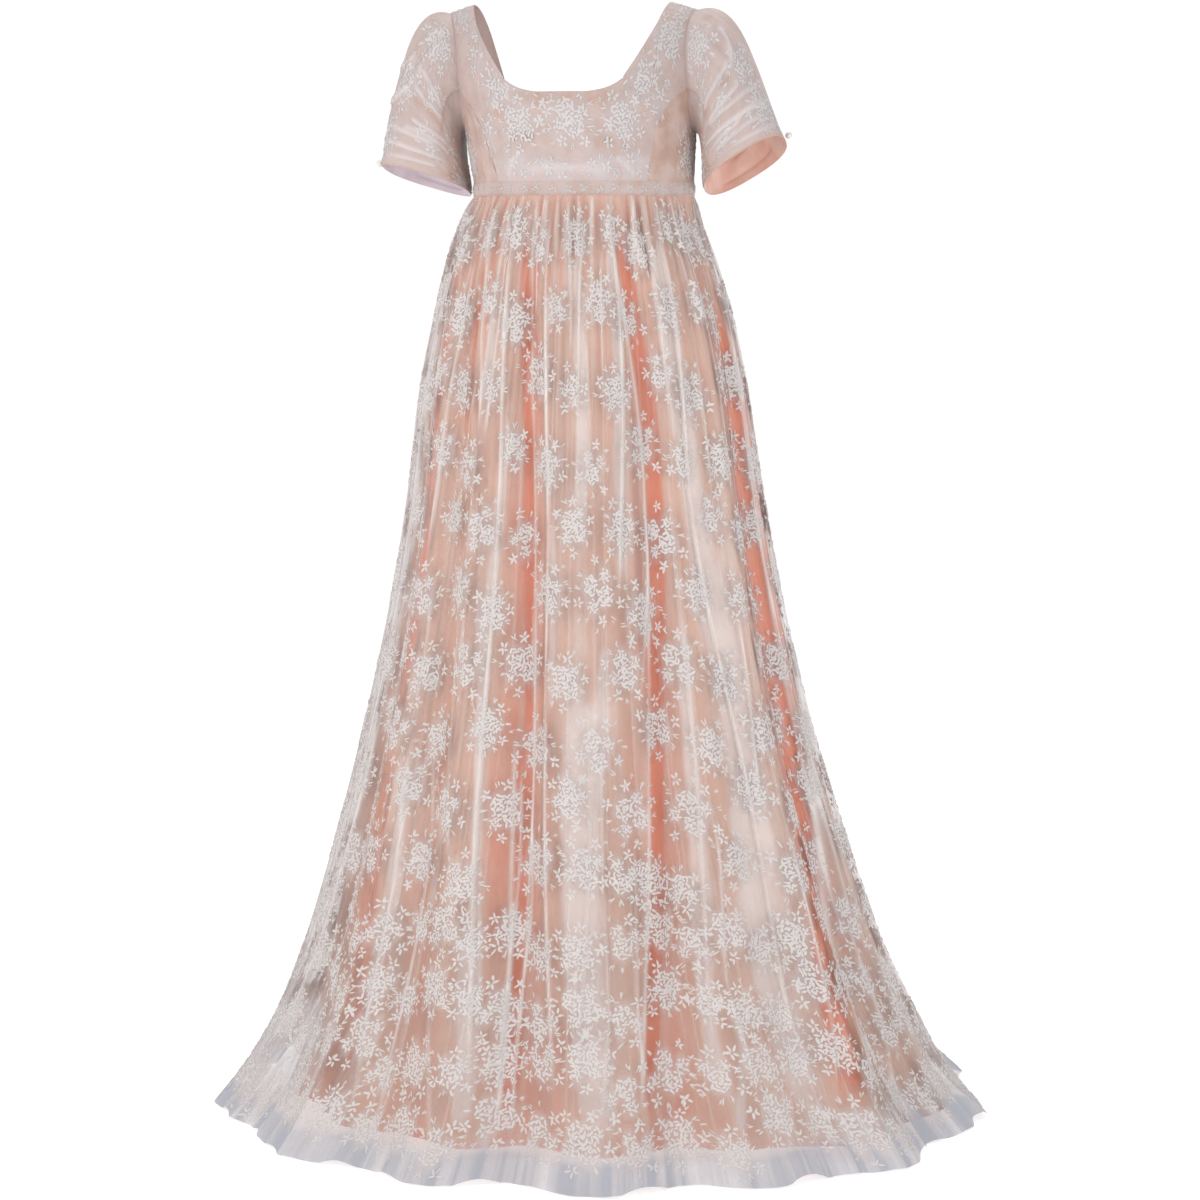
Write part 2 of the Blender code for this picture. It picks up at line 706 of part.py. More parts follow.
def net_panel(back):
    """Half the net skirt: a dense gathered top, then one column for every second one."""
    start = 90.0 if back else -90.0
    points = []
    rows = []
    for k, height in enumerate(NET_TOP_ROWS + NET_ROWS[1:]):
        count = GATHERS * 2 if k < len(NET_TOP_ROWS) - 1 else GATHERS
        row = []
        for i in range(count + 1):
            turn = start + 180.0 * i / count
            lift = fold_lift(turn, height) + gather_lift(turn, height)
            points.append(skirt_point(turn, height, lift))
            row.append(len(points) - 1)
        rows.append(row)
    faces = []
    for upper, lower in zip(rows, rows[1:]):
        if len(upper) == len(lower):
            for i in range(len(upper) - 1):
                faces.append((lower[i], lower[i + 1], upper[i + 1], upper[i]))
            continue
        for i in range(len(lower) - 1):
            a, b, c = upper[2 * i], upper[2 * i + 1], upper[2 * i + 2]
            faces += [(lower[i], b, a), (lower[i], lower[i + 1], b), (lower[i + 1], c, b)]
    return points, faces


def satin_panel(back):
    start = 90.0 if back else -90.0
    count = SATIN_COLUMNS // 2
    points = []
    for height in reversed(SATIN_ROWS):
        gap = ring_value("lining_gap", height)
        for i in range(count + 1):
            turn = start + 180.0 * i / count
            points.append(skirt_point(turn, height, fold_lift(turn, height, True), gap))
    return points, grid_faces(len(SATIN_ROWS), count + 1)


SATIN = ("peach_satin", (0.63, 0.40, 0.33), 0.35)
NET = ("ivory_net", (0.74, 0.68, 0.66), 0.7)
LACED = ("laced_satin", (0.68, 0.53, 0.50), 0.45)
PEARL = ("pearl", (0.80, 0.77, 0.72), 0.25)


def main():
    for thing in list(bpy.data.objects):
        bpy.data.objects.remove(thing, do_unlink=True)
    bpy.context.scene.unit_settings.scale_length = 1.0
    add_walls(bodice(), BODICE_WALL, LACED)
    add_walls({"waistband": waistband()}, BAND_WALL, SATIN)
    for row in SLEEVES:
        points, faces, button = sleeve(row)
        add_walls({"sleeve_" + row[0]: (points, faces)}, SLEEVE_WALL, LACED)
        add_pearl("sleeve_button_" + row[0], leaned(button))
    add_walls({"skirt_satin_front": satin_panel(False), "skirt_satin_back": satin_panel(True)}, SATIN_WALL, SATIN)
    add_walls({"skirt_net_front": net_panel(False), "skirt_net_back": net_panel(True)}, NET_WALL, NET)


main()
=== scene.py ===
"""The looks of the regency gown: its cloth as thin shells, its sprays of white thread, its finishes.

Metres, +Z up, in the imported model's frame. Turns are degrees round the body: 0 is the front,
90 the +X side, 180 the back. A piece of cloth is worked out on its own flat cut, in metres, and
a function for each kind of piece says where a place of the cut lies on the gown.
"""

import math

import bpy
import numpy as np
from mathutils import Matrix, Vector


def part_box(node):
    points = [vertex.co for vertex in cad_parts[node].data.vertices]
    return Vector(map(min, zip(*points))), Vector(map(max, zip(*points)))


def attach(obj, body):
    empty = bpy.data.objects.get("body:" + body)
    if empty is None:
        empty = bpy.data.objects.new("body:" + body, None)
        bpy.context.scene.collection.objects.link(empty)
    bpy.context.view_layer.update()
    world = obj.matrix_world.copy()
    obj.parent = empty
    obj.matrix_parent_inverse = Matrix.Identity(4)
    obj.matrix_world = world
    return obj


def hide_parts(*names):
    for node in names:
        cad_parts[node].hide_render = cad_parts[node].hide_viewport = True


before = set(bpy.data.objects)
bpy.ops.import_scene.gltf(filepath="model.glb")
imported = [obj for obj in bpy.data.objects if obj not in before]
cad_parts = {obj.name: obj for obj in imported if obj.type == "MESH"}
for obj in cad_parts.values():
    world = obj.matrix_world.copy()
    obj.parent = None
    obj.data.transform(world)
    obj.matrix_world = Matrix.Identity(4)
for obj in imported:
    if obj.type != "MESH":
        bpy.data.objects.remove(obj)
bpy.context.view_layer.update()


def smooth(xs, ys, x):
    """The values at x of a curve through the points that keeps rising or falling as they do."""
    xs, ys = np.asarray(xs, float), np.asarray(ys, float)
    if xs[0] > xs[-1]:
        xs, ys = xs[::-1], ys[::-1]
    x = np.clip(x, xs[0], xs[-1])
    slopes = np.diff(ys) / np.diff(xs)
    before, after = slopes[:-1], slopes[1:]
    rising = before * after > 0
    inner = np.where(rising, 2 * before * after / np.where(rising, before + after, 1.0), 0.0)
    slope_at = np.concatenate([slopes[:1], inner, slopes[-1:]])
    i = np.clip(np.searchsorted(xs, x, side="right") - 1, 0, len(xs) - 2)
    step = xs[i + 1] - xs[i]
    t = (x - xs[i]) / step
    return (
        ys[i] * (2 * t**3 - 3 * t**2 + 1)
        + slope_at[i] * step * (t**3 - 2 * t**2 + t)
        + ys[i + 1] * (3 * t**2 - 2 * t**3)
        + slope_at[i + 1] * step * (t**3 - t**2)
    )


class Table:
    """Rows of sizes under named columns, read at places of the first column."""

    def __init__(self, names, *rows):
        self.columns = dict(zip(names.split(), np.array(rows, float).T))
        self.key = next(iter(self.columns))

    def __getitem__(self, name):
        return self.columns[name]

    def at(self, name, place):
        return smooth(self[self.key], self[name], place)


# ---- the gown's sizes ----

FLOOR = -1.436
CAMERA_TURN = 10.0
BAND_TOP = -0.2283
BAND_BOTTOM = -0.2463
SIDE_LEAN = 0.014
CLOTH = 0.0008
STEPS_TO_KEY = 1e5
BODY = Table(
    "height half_width front back",
    (-0.247, 0.1425, 0.105, 0.1),
    (-0.228, 0.143, 0.1075, 0.1005),
    (-0.2, 0.145, 0.117, 0.1025),
    (-0.165, 0.1485, 0.126, 0.106),
    (-0.14, 0.1535, 0.1275, 0.1085),
    (-0.11, 0.159, 0.121, 0.111),
    (-0.05, 0.168, 0.112, 0.11),
    (0.0, 0.18, 0.105, 0.105),
)
SHOULDER_ROUNDING = 0.1
SHOULDER_DROP = 0.0106
STRAPS = Table(
    "climb front_neck_x back_neck_x armhole_x",
    (0.0, 0.076, 0.11, 0.147),
    (0.17, 0.093, 0.115, 0.147),
    (0.33, 0.106, 0.119, 0.148),
    (0.5, 0.1165, 0.122, 0.15),
    (0.67, 0.1225, 0.1245, 0.1535),
    (0.83, 0.1262, 0.1265, 0.158),
    (1.0, 0.1285, 0.1285, 0.1625),
)
NECK = Table(
    "across front_x front_height back_x back_height",
    (0.0, 0.0, -0.118, 0.0, -0.132),
    (0.33, 0.028, -0.118, 0.04, -0.131),
    (0.6, 0.048, -0.115, 0.072, -0.126),
    (0.8, 0.063, -0.109, 0.093, -0.116),
    (1.0, 0.076, -0.1, 0.11, -0.1),
)
PRINCESS_SEAM = Table(
    "along turn height",
    (0.0, 42.0, BAND_TOP),
    (0.35, 46.0, -0.186),
    (0.65, 52.0, -0.145),
    (0.85, 60.0, -0.122),
    (1.0, 68.6, -0.1106),
)
UNDERARM_EDGE = Table(
    "along turn height",
    (0.0, 68.6, -0.1106),
    (0.35, 73.0, -0.136),
    (0.7, 80.0, -0.157),
    (1.0, 90.0, -0.165),
)
# side, outer_x, outer_z, inner_x, inner_z, half_depth, tilt, middle_y
SLEEVES = (
    ("left", -0.262, -0.2085, -0.15, -0.24, 0.053, 0.01, -0.004),
    ("right", 0.265, -0.177, 0.158, -0.238, 0.053, 0.015, -0.004),
)
SLEEVE_HEAD_GAP = 0.0001
SLEEVE_PUFF = 0.064
SLEEVE_FALL = 0.05
SLEEVE_SQUARENESS = 0.76
CAP_GATHERS = 8
CAP_GATHER_DEPTH = 0.002
CAP_REACH = 0.21
CAP_FALL = 0.52
SLEEVE_SPREAD = (0.42, 0.28)
SLEEVE_FLARE = 0.006
PUFF_OUTSIDE, FALL_OUTSIDE = 0.38, 0.4
SLIT = Table("down width", (0.78, 0.0), (0.84, 0.0044), (0.89, 0.0058), (0.95, 0.0042), (1.0, 0.0016))
PEARL_RADIUS = 0.0045
SKIRT = Table(
    "height left right front back lining_gap fold_share",
    (-0.2463, 0.1427, 0.1427, 0.1052, 0.1002, 0.0018, 0.0),
    (-0.262, 0.153, 0.1475, 0.1085, 0.104, 0.0055, 0.0),
    (-0.285, 0.162, 0.153, 0.1145, 0.111, 0.0075, 0.08),
    (-0.33, 0.176, 0.169, 0.125, 0.127, 0.0085, 0.26),
    (-0.4, 0.191, 0.189, 0.139, 0.15, 0.0095, 0.42),
    (-0.5, 0.209, 0.209, 0.156, 0.179, 0.0105, 0.52),
    (-0.62, 0.222, 0.227, 0.176, 0.209, 0.0115, 0.6),
    (-0.76, 0.244, 0.252, 0.202, 0.242, 0.013, 0.68),
    (-0.92, 0.278, 0.289, 0.236, 0.284, 0.014, 0.78),
    (-1.08, 0.319, 0.338, 0.272, 0.328, 0.02, 0.86),
    (-1.2, 0.354, 0.379, 0.306, 0.368, 0.031, 0.92),
    (-1.3, 0.392, 0.426, 0.34, 0.412, 0.048, 0.96),
    (-1.37, 0.431, 0.464, 0.368, 0.446, 0.062, 1.0),
    (-1.41, 0.46, 0.496, 0.396, 0.47, 0.074, 1.0),
    (-1.435, 0.479, 0.517, 0.424, 0.496, 0.08, 0.95),
)
SATIN_HEM = -1.416
GATHERS = 56
NET_RIPPLES = (43, 61, 89)
SATIN_RIPPLES = (29, 41, 59)
GATHER_PEAK = 0.0026
GATHER_DEPTHS = Table(
    "height depth", (-0.2463, 0.0008), (-0.254, 0.002), (-0.285, GATHER_PEAK), (-0.33, 0.0018), (-0.43, 0.0)
)

# The main folds: where each starts, passes at knee height and ends, half its width in degrees,
# and its depth at the hem, outwards or (negative) inwards.
# top, knee, hem, half_width, depth
FOLDS = (
    (-17.8, -8.0, -2.5, 5.4, -0.03),
    (27.6, 31.0, 23.0, 5.4, -0.026),
    (76.0, 74.0, 70.0, 5.4, -0.022),
    (-6.0, 1.0, 8.0, 6.0, 0.014),
    (12.0, 14.0, 14.0, 5.0, 0.01),
    (41.0, 42.0, 34.0, 6.0, 0.012),
    (58.0, 57.0, 56.0, 6.0, 0.024),
    (88.0, 90.0, 92.0, 7.0, 0.012),
    (-38.0, -27.0, -15.0, 5.5, 0.014),
    (-47.0, -38.0, -27.0, 5.2, -0.014),
    (-57.0, -50.0, -41.0, 6.0, 0.014),
    (-68.0, -64.0, -58.0, 5.5, -0.018),
    (-81.0, -79.0, -77.0, 6.0, 0.012),
    (-97.0, -99.0, -100.0, 6.0, -0.016),
    (-113.0, -114.0, -116.0, 7.0, 0.016),
    (-129.0, -130.0, -133.0, 6.0, -0.02),
    (-145.0, -147.0, -150.0, 7.0, 0.018),
    (-161.0, -163.0, -167.0, 6.0, -0.022),
    (-177.0, -178.0, 177.0, 7.0, 0.018),
    (167.0, 165.0, 161.0, 5.5, -0.02),
    (151.0, 149.0, 146.0, 7.0, 0.018),
    (136.0, 134.0, 130.0, 6.0, -0.02),
    (119.0, 118.0, 115.0, 7.0, 0.014),
    (103.0, 103.0, 104.0, 5.5, -0.014),
)

# Finer creases of the net, each a narrow ridge: its ends' heights, its turn at the top, at a third
# and two thirds of the way and at the bottom, half its width, its rise, and how much whiter the
# doubled net looks there, with a painted highlight. One that rises less than 0 is a trough, and gets painted shade.
# top, bottom, turn_top, turn_upper, turn_lower, turn_bottom, half_width, rise, whiter
NET_CREASES = (
    (-0.255, -1.39, -26.5, -20.6, -17.4, -10.5, 0.0026, 0.0022, 1.0),
    (-0.255, -1.38, -9.6, -3.7, -1.1, 3.8, 0.0026, 0.0022, 1.0),
    (-0.25, -0.76, 19.4, 21.3, 20.0, 17.8, 0.0026, 0.0018, 0.95),
    (-0.25, -1.33, 45.5, 43.0, 49.5, 46.0, 0.003, 0.0025, 0.95),
    (-1.03, -1.37, 57.0, 56.6, 54.6, 49.5, 0.0022, 0.0022, 0.7),
    (-0.262, -0.54, -40.0, -35.6, -31.6, -28.8, 0.0022, 0.0016, 0.75),
    (-0.3, -0.7, -45.0, -47.4, -48.2, -48.4, 0.0022, 0.0016, 0.75),
    (-0.262, -0.64, 8.0, 5.6, 5.5, 5.5, 0.0019, 0.0015, 0.7),
    (-0.25, -0.45, -0.4, 1.0, 2.4, 2.8, 0.0019, 0.0014, 0.65),
    (-0.3, -0.48, 16.0, 14.4, 14.0, 14.0, 0.0019, 0.0014, 0.65),
    (-0.262, -0.64, 59.4, 58.8, 60.4, 61.2, 0.0026, 0.0018, 0.85),
    (-0.56, -1.37, 36.6, 37.0, 33.6, 28.6, 0.0024, 0.0018, 0.65),
    (-1.0, -1.32, 39.0, 37.0, 35.0, 36.4, 0.0022, 0.0016, 0.6),
    (-0.6, -0.88, 27.4, 28.0, 25.8, 22.6, 0.0022, 0.0016, 0.75),
    (-0.42, -0.6, 8.0, 9.0, 9.6, 8.6, 0.0019, 0.0014, 0.7),
    (-0.84, -1.3, 9.2, 9.6, 8.6, 7.0, 0.0024, 0.0018, 0.45),
    (-0.9, -1.38, 12.6, 12.0, 12.4, 10.2, 0.0024, 0.0018, 0.55),
    (-0.25, -0.36, 32.0, 31.2, 30.4, 29.6, 0.0018, 0.0012, 0.6),
    (-0.74, -1.08, -33.0, -29.4, -27.0, -22.0, 0.0024, 0.0018, 0.65),
    (-0.93, -1.4, -42.4, -39.2, -37.4, -32.4, 0.0026, 0.002, 0.75),
    (-0.93, -1.4, -36.4, -30.6, -30.6, -28.4, 0.0026, 0.002, 0.7),
    (-0.74, -0.93, -45.0, -43.4, -43.0, -42.8, 0.0022, 0.0016, 0.55),
    (-0.93, -1.4, -8.8, -7.2, -7.6, -6.2, 0.0022, 0.002, 0.75),
    (-0.99, -1.4, -5.2, -3.8, -4.8, -3.8, 0.0022, 0.002, 0.75),
    (-1.18, -1.4, -24.0, -22.0, -18.6, -15.4, 0.0024, 0.0018, 0.6),
    (-1.02, -1.4, 19.2, 18.4, 17.6, 21.0, 0.0022, 0.0018, 0.5),
    (-1.16, -1.34, -52.0, -54.0, -56.6, -59.5, 0.0024, 0.0018, 0.6),
    (-1.23, -1.4, -44.0, -43.2, -41.6, -39.4, 0.0022, 0.0018, 0.45),
    (-1.16, -1.4, 77.5, 76.6, 74.0, 69.0, 0.003, 0.0022, 0.6),
    (-0.9, -1.32, -68.4, -67.8, -67.6, -68.8, 0.0034, 0.002, 0.7),
    (-0.76, -1.01, 55.0, 54.4, 53.0, 51.0, 0.0024, 0.0018, 0.65),
    (-0.48, -0.66, -32.6, -34.4, -38.0, -41.5, 0.002, 0.0014, 0.5),
    (-0.262, -0.56, -30.0, -27.0, -26.8, -27.8, 0.0022, 0.0016, 0.8),
    (-0.25, -0.4, -16.4, -14.4, -12.4, -11.4, 0.0018, 0.0014, 0.75),
    (-0.56, -0.82, -15.0, -14.0, -13.4, -12.6, 0.002, 0.0014, 0.4),
    (-0.76, -0.94, -8.0, -7.2, -6.2, -5.6, 0.0018, 0.0014, 0.5),
    (-0.48, -0.6, 50.6, 51.2, 51.6, 52.0, 0.0022, 0.0014, 0.5),
    (-0.38, -0.56, 37.2, 37.6, 38.2, 38.6, 0.002, 0.0014, 0.5),
    (-0.3, -1.25, -57.0, -56.0, -54.0, -50.0, 0.0029, 0.0018, 0.5),
    (-0.3, -1.25, 66.0, 65.0, 65.0, 66.0, 0.0029, 0.0018, 0.45),
    (-0.7, -1.2, 81.5, 81.2, 80.6, 79.0, 0.0034, 0.002, 0.6),
    (-0.247, -0.3, -43.6, -43.0, -42.8, -42.6, 0.0018, -0.001, -0.7),
    (-0.247, -0.32, -28.4, -27.0, -25.4, -24.0, 0.0018, -0.001, -0.7),
    (-0.247, -0.3, -12.0, -11.6, -11.0, -10.6, 0.0018, -0.001, -0.7),
    (-0.247, -0.31, -4.6, -4.0, -3.2, -2.4, 0.0018, -0.001, -0.7),
    (-0.247, -0.29, 1.8, 2.6, 3.2, 3.8, 0.0016, -0.001, -0.6),
    (-0.247, -0.32, 11.2, 10.4, 9.4, 8.8, 0.0018, -0.001, -0.6),
    (-0.247, -0.36, 35.8, 36.0, 36.2, 36.4, 0.0026, -0.0014, -1.0),
    (-0.247, -0.36, 53.4, 52.0, 50.8, 49.6, 0.0026, -0.0014, -0.8),
    (-0.39, -0.64, -0.6, 0.6, 1.4, 2.2, 0.0022, -0.0012, -0.6),
    (-0.4, -1.15, -36.0, -27.0, -23.2, -23.4, 0.0026, -0.0014, -0.7),
    (-0.75, -1.3, -40.6, -39.0, -36.4, -36.0, 0.0026, -0.0014, -0.6),
    (-0.42, -0.82, 11.6, 11.4, 11.6, 11.2, 0.0026, -0.0014, -0.5),
    (-0.27, -1.3, -73.5, -72.5, -71.0, -69.0, 0.0032, 0.002, 0.69),
    (-0.3, -1.25, -88.0, -88.3, -88.7, -89.0, 0.0029, 0.002, 0.69),
    (-0.27, -0.95, -104.0, -104.7, -105.3, -106.0, 0.0027, 0.0018, 0.57),
    (-0.6, -1.4, -121.0, -122.3, -123.8, -125.5, 0.0032, 0.0022, 0.69),
    (-0.255, -1.05, -137.0, -138.0, -139.3, -141.0, 0.0027, 0.002, 0.8),
    (-0.26, -0.78, -153.0, -154.0, -155.0, -156.0, 0.0024, 0.0018, 0.69),
    (-0.9, -1.42, -157.0, -158.3, -160.3, -163.0, 0.0032, 0.0025, 0.86),
    (-0.255, -1.18, -170.0, -171.0, -172.5, -174.5, 0.0027, 0.0022, 0.92),
    (-0.26, -0.86, 174.0, 173.0, 171.7, 170.0, 0.0024, 0.0018, 0.69),
    (-0.7, -1.41, 156.0, 154.7, 152.7, 150.0, 0.0034, 0.0025, 0.86),
    (-0.258, -1.0, 159.0, 158.3, 157.5, 156.5, 0.0024, 0.0018, 0.69),
    (-0.255, -1.12, 143.0, 142.3, 141.0, 139.0, 0.0027, 0.002, 0.8),
    (-0.26, -0.76, 127.0, 126.3, 125.5, 124.5, 0.0024, 0.0018, 0.63),
    (-0.85, -1.4, 124.0, 122.7, 121.0, 119.0, 0.0032, 0.0022, 0.74),
    (-0.27, -1.26, 110.0, 110.0, 109.7, 109.0, 0.0029, 0.002, 0.69),
    (-0.27, -1.1, 96.0, 96.7, 97.5, 98.5, 0.0027, 0.0018, 0.51),
    (-0.35, -1.38, 82.5, 82.8, 83.0, 83.0, 0.0029, 0.002, 0.57),
)

# Where the satin gets painted shade of deeper salmon (above 0) or a painted highlight (below 0): the heights of the
# strip's ends, its turn there and at a third and two thirds of the way, half its width, its tone.
# top, bottom, turn_top, turn_upper, turn_lower, turn_bottom, half_width, tone
SATIN_STRIPS = (
    (-0.4, -1.4, 80.0, 80.0, 67.0, 51.0, 0.034, 1.25),
    (-0.9, -1.4, -8.2, -6.8, -5.4, -4.8, 0.0085, 1.1),
    (-0.247, -1.4, -20.2, -11.2, -6.4, -5.4, 0.0056, 0.98),
    (-0.247, -1.385, 22.6, 31.6, 25.6, 17.6, 0.0095, 1.4),
    (-0.3, -0.68, 3.0, 5.6, 7.0, 6.2, 0.009, -1.1),
    (-0.86, -1.4, 9.2, 7.0, 8.2, 10.6, 0.024, -1.3),
    (-0.29, -0.74, 18.4, 20.2, 19.2, 18.8, 0.008, -1.1),
    (-0.8, -0.92, 14.0, 13.0, 13.0, 12.4, 0.008, -0.8),
    (-0.29, -0.7, 41.0, 41.2, 43.2, 45.4, 0.012, -1.4),
    (-0.66, -1.4, 45.4, 48.2, 44.6, 43.0, 0.019, -1.15),
    (-0.74, -1.38, 37.4, 35.0, 31.4, 28.4, 0.012, -1.1),
    (-0.48, -1.4, -19.8, -20.4, -15.6, -12.2, 0.008, -1.1),
    (-1.13, -1.4, -15.2, -14.4, -12.8, -12.0, 0.015, -1.2),
    (-0.38, -0.5, -29.0, -28.6, -28.0, -27.6, 0.008, -0.9),
    (-0.74, -1.18, -31.4, -29.2, -28.8, -28.6, 0.008, -0.7),
    (-0.64, -0.9, -2.8, -1.4, -1.0, -1.2, 0.006, -0.9),
    (-0.98, -1.26, -41.0, -39.0, -35.0, -32.0, 0.009, -0.6),
    (-1.25, -1.4, 35.6, 35.0, 33.0, 31.0, 0.009, -0.8),
    (-0.55, -1.24, -14.6, -13.4, -12.2, -9.4, 0.015, 0.42),
    (-0.43, -1.15, 32.6, 30.2, 25.6, 22.4, 0.0055, 0.45),
    (-0.36, -1.16, 77.0, 76.8, 76.2, 72.0, 0.011, 1.1),
    (-0.255, -0.48, 12.0, 12.2, 12.8, 13.0, 0.0045, 0.45),
    (-0.95, -1.385, -52.0, -46.0, -42.4, -40.0, 0.015, 0.6),
    (-0.3, -0.62, -38.0, -37.0, -36.0, -35.0, 0.006, 0.45),
    (-0.7, -1.1, 16.0, 18.0, 19.0, 19.0, 0.01, 0.3),
    (-0.26, -0.9, -64.0, -64.0, -63.0, -61.0, 0.01, 0.5),
    (-0.3, -1.38, -99.0, -98.4, -99.4, -101.0, 0.012, 0.9),
    (-0.28, -1.39, -129.0, -130.2, -130.8, -133.0, 0.012, 0.9),
    (-0.27, -1.4, -160.4, -162.2, -163.8, -167.0, 0.013, 1.0),
    (-0.27, -1.4, 167.4, 165.8, 164.2, 161.0, 0.012, 1.0),
    (-0.28, -1.39, 136.0, 134.8, 133.0, 130.0, 0.012, 0.9),
    (-0.32, -1.37, 103.0, 102.6, 104.0, 104.4, 0.011, 0.8),
    (-0.4, -1.3, -88.0, -87.4, -88.4, -90.0, 0.012, -0.8),
    (-0.36, -0.95, -114.0, -113.6, -114.8, -115.6, 0.01, -0.9),
    (-0.8, -1.4, -121.0, -122.2, -123.0, -125.4, 0.016, -0.9),
    (-0.33, -0.8, -146.4, -145.8, -147.0, -148.0, 0.008, -0.9),
    (-0.85, -1.39, -150.0, -149.6, -151.2, -153.0, 0.016, -1.0),
    (-0.38, -1.2, -176.0, -177.2, -177.8, -180.0, 0.012, -0.9),
    (-0.36, -0.85, 151.0, 150.0, 149.6, 149.0, 0.009, -0.9),
    (-0.8, -1.4, 148.4, 147.8, 147.0, 144.6, 0.016, -1.0),
    (-0.4, -1.1, 119.0, 118.2, 117.0, 116.0, 0.012, -0.8),
    (-0.7, -1.38, 91.6, 92.2, 93.4, 94.0, 0.014, -0.7),
)

# Soft creases of the bodice and of the sleeves on their own cut: from and to, how far each bows,
# half its width, and its rise (negative for a trough).
# from_u, from_v, to_u, to_v, bow, half_width, rise
SIDE_FRONT_CREASES = (
    (0.118, -0.226, 0.124, -0.15, 0.04, 0.002, 0.001),
    (0.126, -0.224, 0.132, -0.142, 0.04, 0.0022, 0.0012),
    (0.135, -0.226, 0.142, -0.136, 0.05, 0.0022, -0.001),
    (0.143, -0.222, 0.152, -0.13, 0.05, 0.002, 0.0011),
    (0.152, -0.226, 0.162, -0.128, 0.04, 0.0022, 0.0012),
    (0.163, -0.222, 0.174, -0.136, 0.04, 0.0024, -0.001),
    (0.176, -0.226, 0.188, -0.15, 0.03, 0.0022, 0.001),
    (0.192, -0.224, 0.204, -0.158, 0.03, 0.0024, 0.001),
    (0.21, -0.226, 0.218, -0.168, 0.02, 0.0026, 0.0009),
)
FRONT_CREASES = (
    (-0.098, -0.222, -0.075, -0.196, 0.1, 0.004, 0.0012),
    (0.1, -0.222, 0.072, -0.2, -0.1, 0.004, 0.0012),
    (-0.06, -0.214, 0.055, -0.216, 0.04, 0.006, 0.0012),
    (-0.085, -0.182, -0.04, -0.176, 0.08, 0.006, -0.001),
    (0.088, -0.184, 0.044, -0.178, -0.08, 0.006, -0.001),
    (-0.03, -0.201, 0.03, -0.203, -0.06, 0.005, -0.0008),
    (-0.112, -0.15, -0.092, -0.118, 0.1, 0.005, 0.0014),
    (0.114, -0.15, 0.094, -0.116, -0.1, 0.005, 0.0014),
    (-0.12, -0.1, -0.112, -0.04, 0.05, 0.003, 0.001),
    (0.124, -0.096, 0.12, -0.03, -0.05, 0.0034, 0.0014),
)
BACK_CREASES = (
    (0.3, -0.222, 0.32, -0.18, 0.05, 0.005, 0.0012),
    (0.34, -0.224, 0.35, -0.17, 0.05, 0.006, -0.001),
    (0.385, -0.224, 0.38, -0.16, -0.05, 0.005, 0.0012),
    (0.42, -0.222, 0.412, -0.176, -0.05, 0.006, 0.001),
    (0.262, -0.222, 0.268, -0.172, 0.03, 0.003, 0.001),
    (0.3, -0.15, 0.345, -0.126, 0.06, 0.006, 0.0014),
    (0.345, -0.098, 0.352, -0.03, 0.05, 0.0034, 0.0012),
)
SLEEVE_CREASES = {
    "left": (
        (0.024, 0.17, 0.136, 0.15, 0.05, 0.004, 0.0026),
        (0.034, 0.152, 0.116, 0.136, 0.04, 0.0036, 0.0022),
        (0.074, 0.142, 0.146, 0.124, -0.04, 0.0034, 0.002),
        (0.082, 0.126, 0.142, 0.109, 0.03, 0.0034, 0.0024),
        (0.064, 0.108, 0.136, 0.095, -0.03, 0.0036, -0.002),
        (0.07, 0.091, 0.128, 0.08, 0.04, 0.0036, 0.0022),
        (0.062, 0.072, 0.118, 0.066, -0.06, 0.0042, 0.0022),
        (0.018, 0.134, 0.058, 0.102, 0.06, 0.0046, 0.003),
        (0.016, 0.1, 0.046, 0.074, 0.05, 0.004, 0.0022),
        (0.044, 0.187, 0.122, 0.172, 0.04, 0.0042, 0.0022),
        (0.16, 0.08, 0.15, 0.19, 0.06, 0.006, -0.003),
        (-0.02, 0.14, -0.12, 0.16, -0.08, 0.005, 0.003),
        (-0.034, 0.112, -0.126, 0.122, -0.06, 0.0044, 0.0026),
        (-0.05, 0.08, -0.118, 0.092, -0.06, 0.0042, -0.0024),
        (-0.07, 0.184, -0.14, 0.176, -0.05, 0.005, 0.0022),
    ),
    "right": (
        (0.014, 0.157, 0.146, 0.122, 0.05, 0.0042, 0.003),
        (0.026, 0.136, 0.128, 0.106, 0.05, 0.0036, 0.0022),
        (0.06, 0.116, 0.14, 0.094, 0.04, 0.0034, 0.0024),
        (0.066, 0.101, 0.134, 0.083, -0.03, 0.0036, -0.002),
        (0.058, 0.086, 0.122, 0.071, 0.03, 0.0036, 0.0024),
        (0.084, 0.152, 0.142, 0.146, 0.03, 0.0036, 0.002),
        (0.05, 0.17, 0.126, 0.163, -0.03, 0.004, 0.002),
        (0.024, 0.186, 0.104, 0.181, 0.03, 0.0046, 0.002),
        (0.156, 0.07, 0.148, 0.186, -0.06, 0.006, -0.003),
        (0.03, 0.05, 0.062, 0.096, 0.1, 0.005, 0.0022),
        (-0.018, 0.132, -0.116, 0.146, -0.08, 0.005, 0.003),
        (-0.03, 0.108, -0.122, 0.112, -0.06, 0.0044, 0.0026),
        (-0.046, 0.08, -0.114, 0.078, -0.06, 0.0042, -0.0024),
        (-0.06, 0.18, -0.136, 0.174, -0.05, 0.005, 0.0022),
    ),
}

# ---- the sizes of the flat cuts ----

NET_WIDTH = 3.05
BODICE_AROUND = 0.165
SLEEVE_AROUND = 0.4
SLEEVE_LONG = 0.205


def unit(vectors):
    return vectors / np.maximum(np.linalg.norm(vectors, axis=-1, keepdims=True), 1e-12)


def stacked(*axes):
    return np.stack(np.broadcast_arrays(*axes), -1)


def eased(share):
    share = np.clip(share, 0.0, 1.0)
    return share * share * (3 - 2 * share)


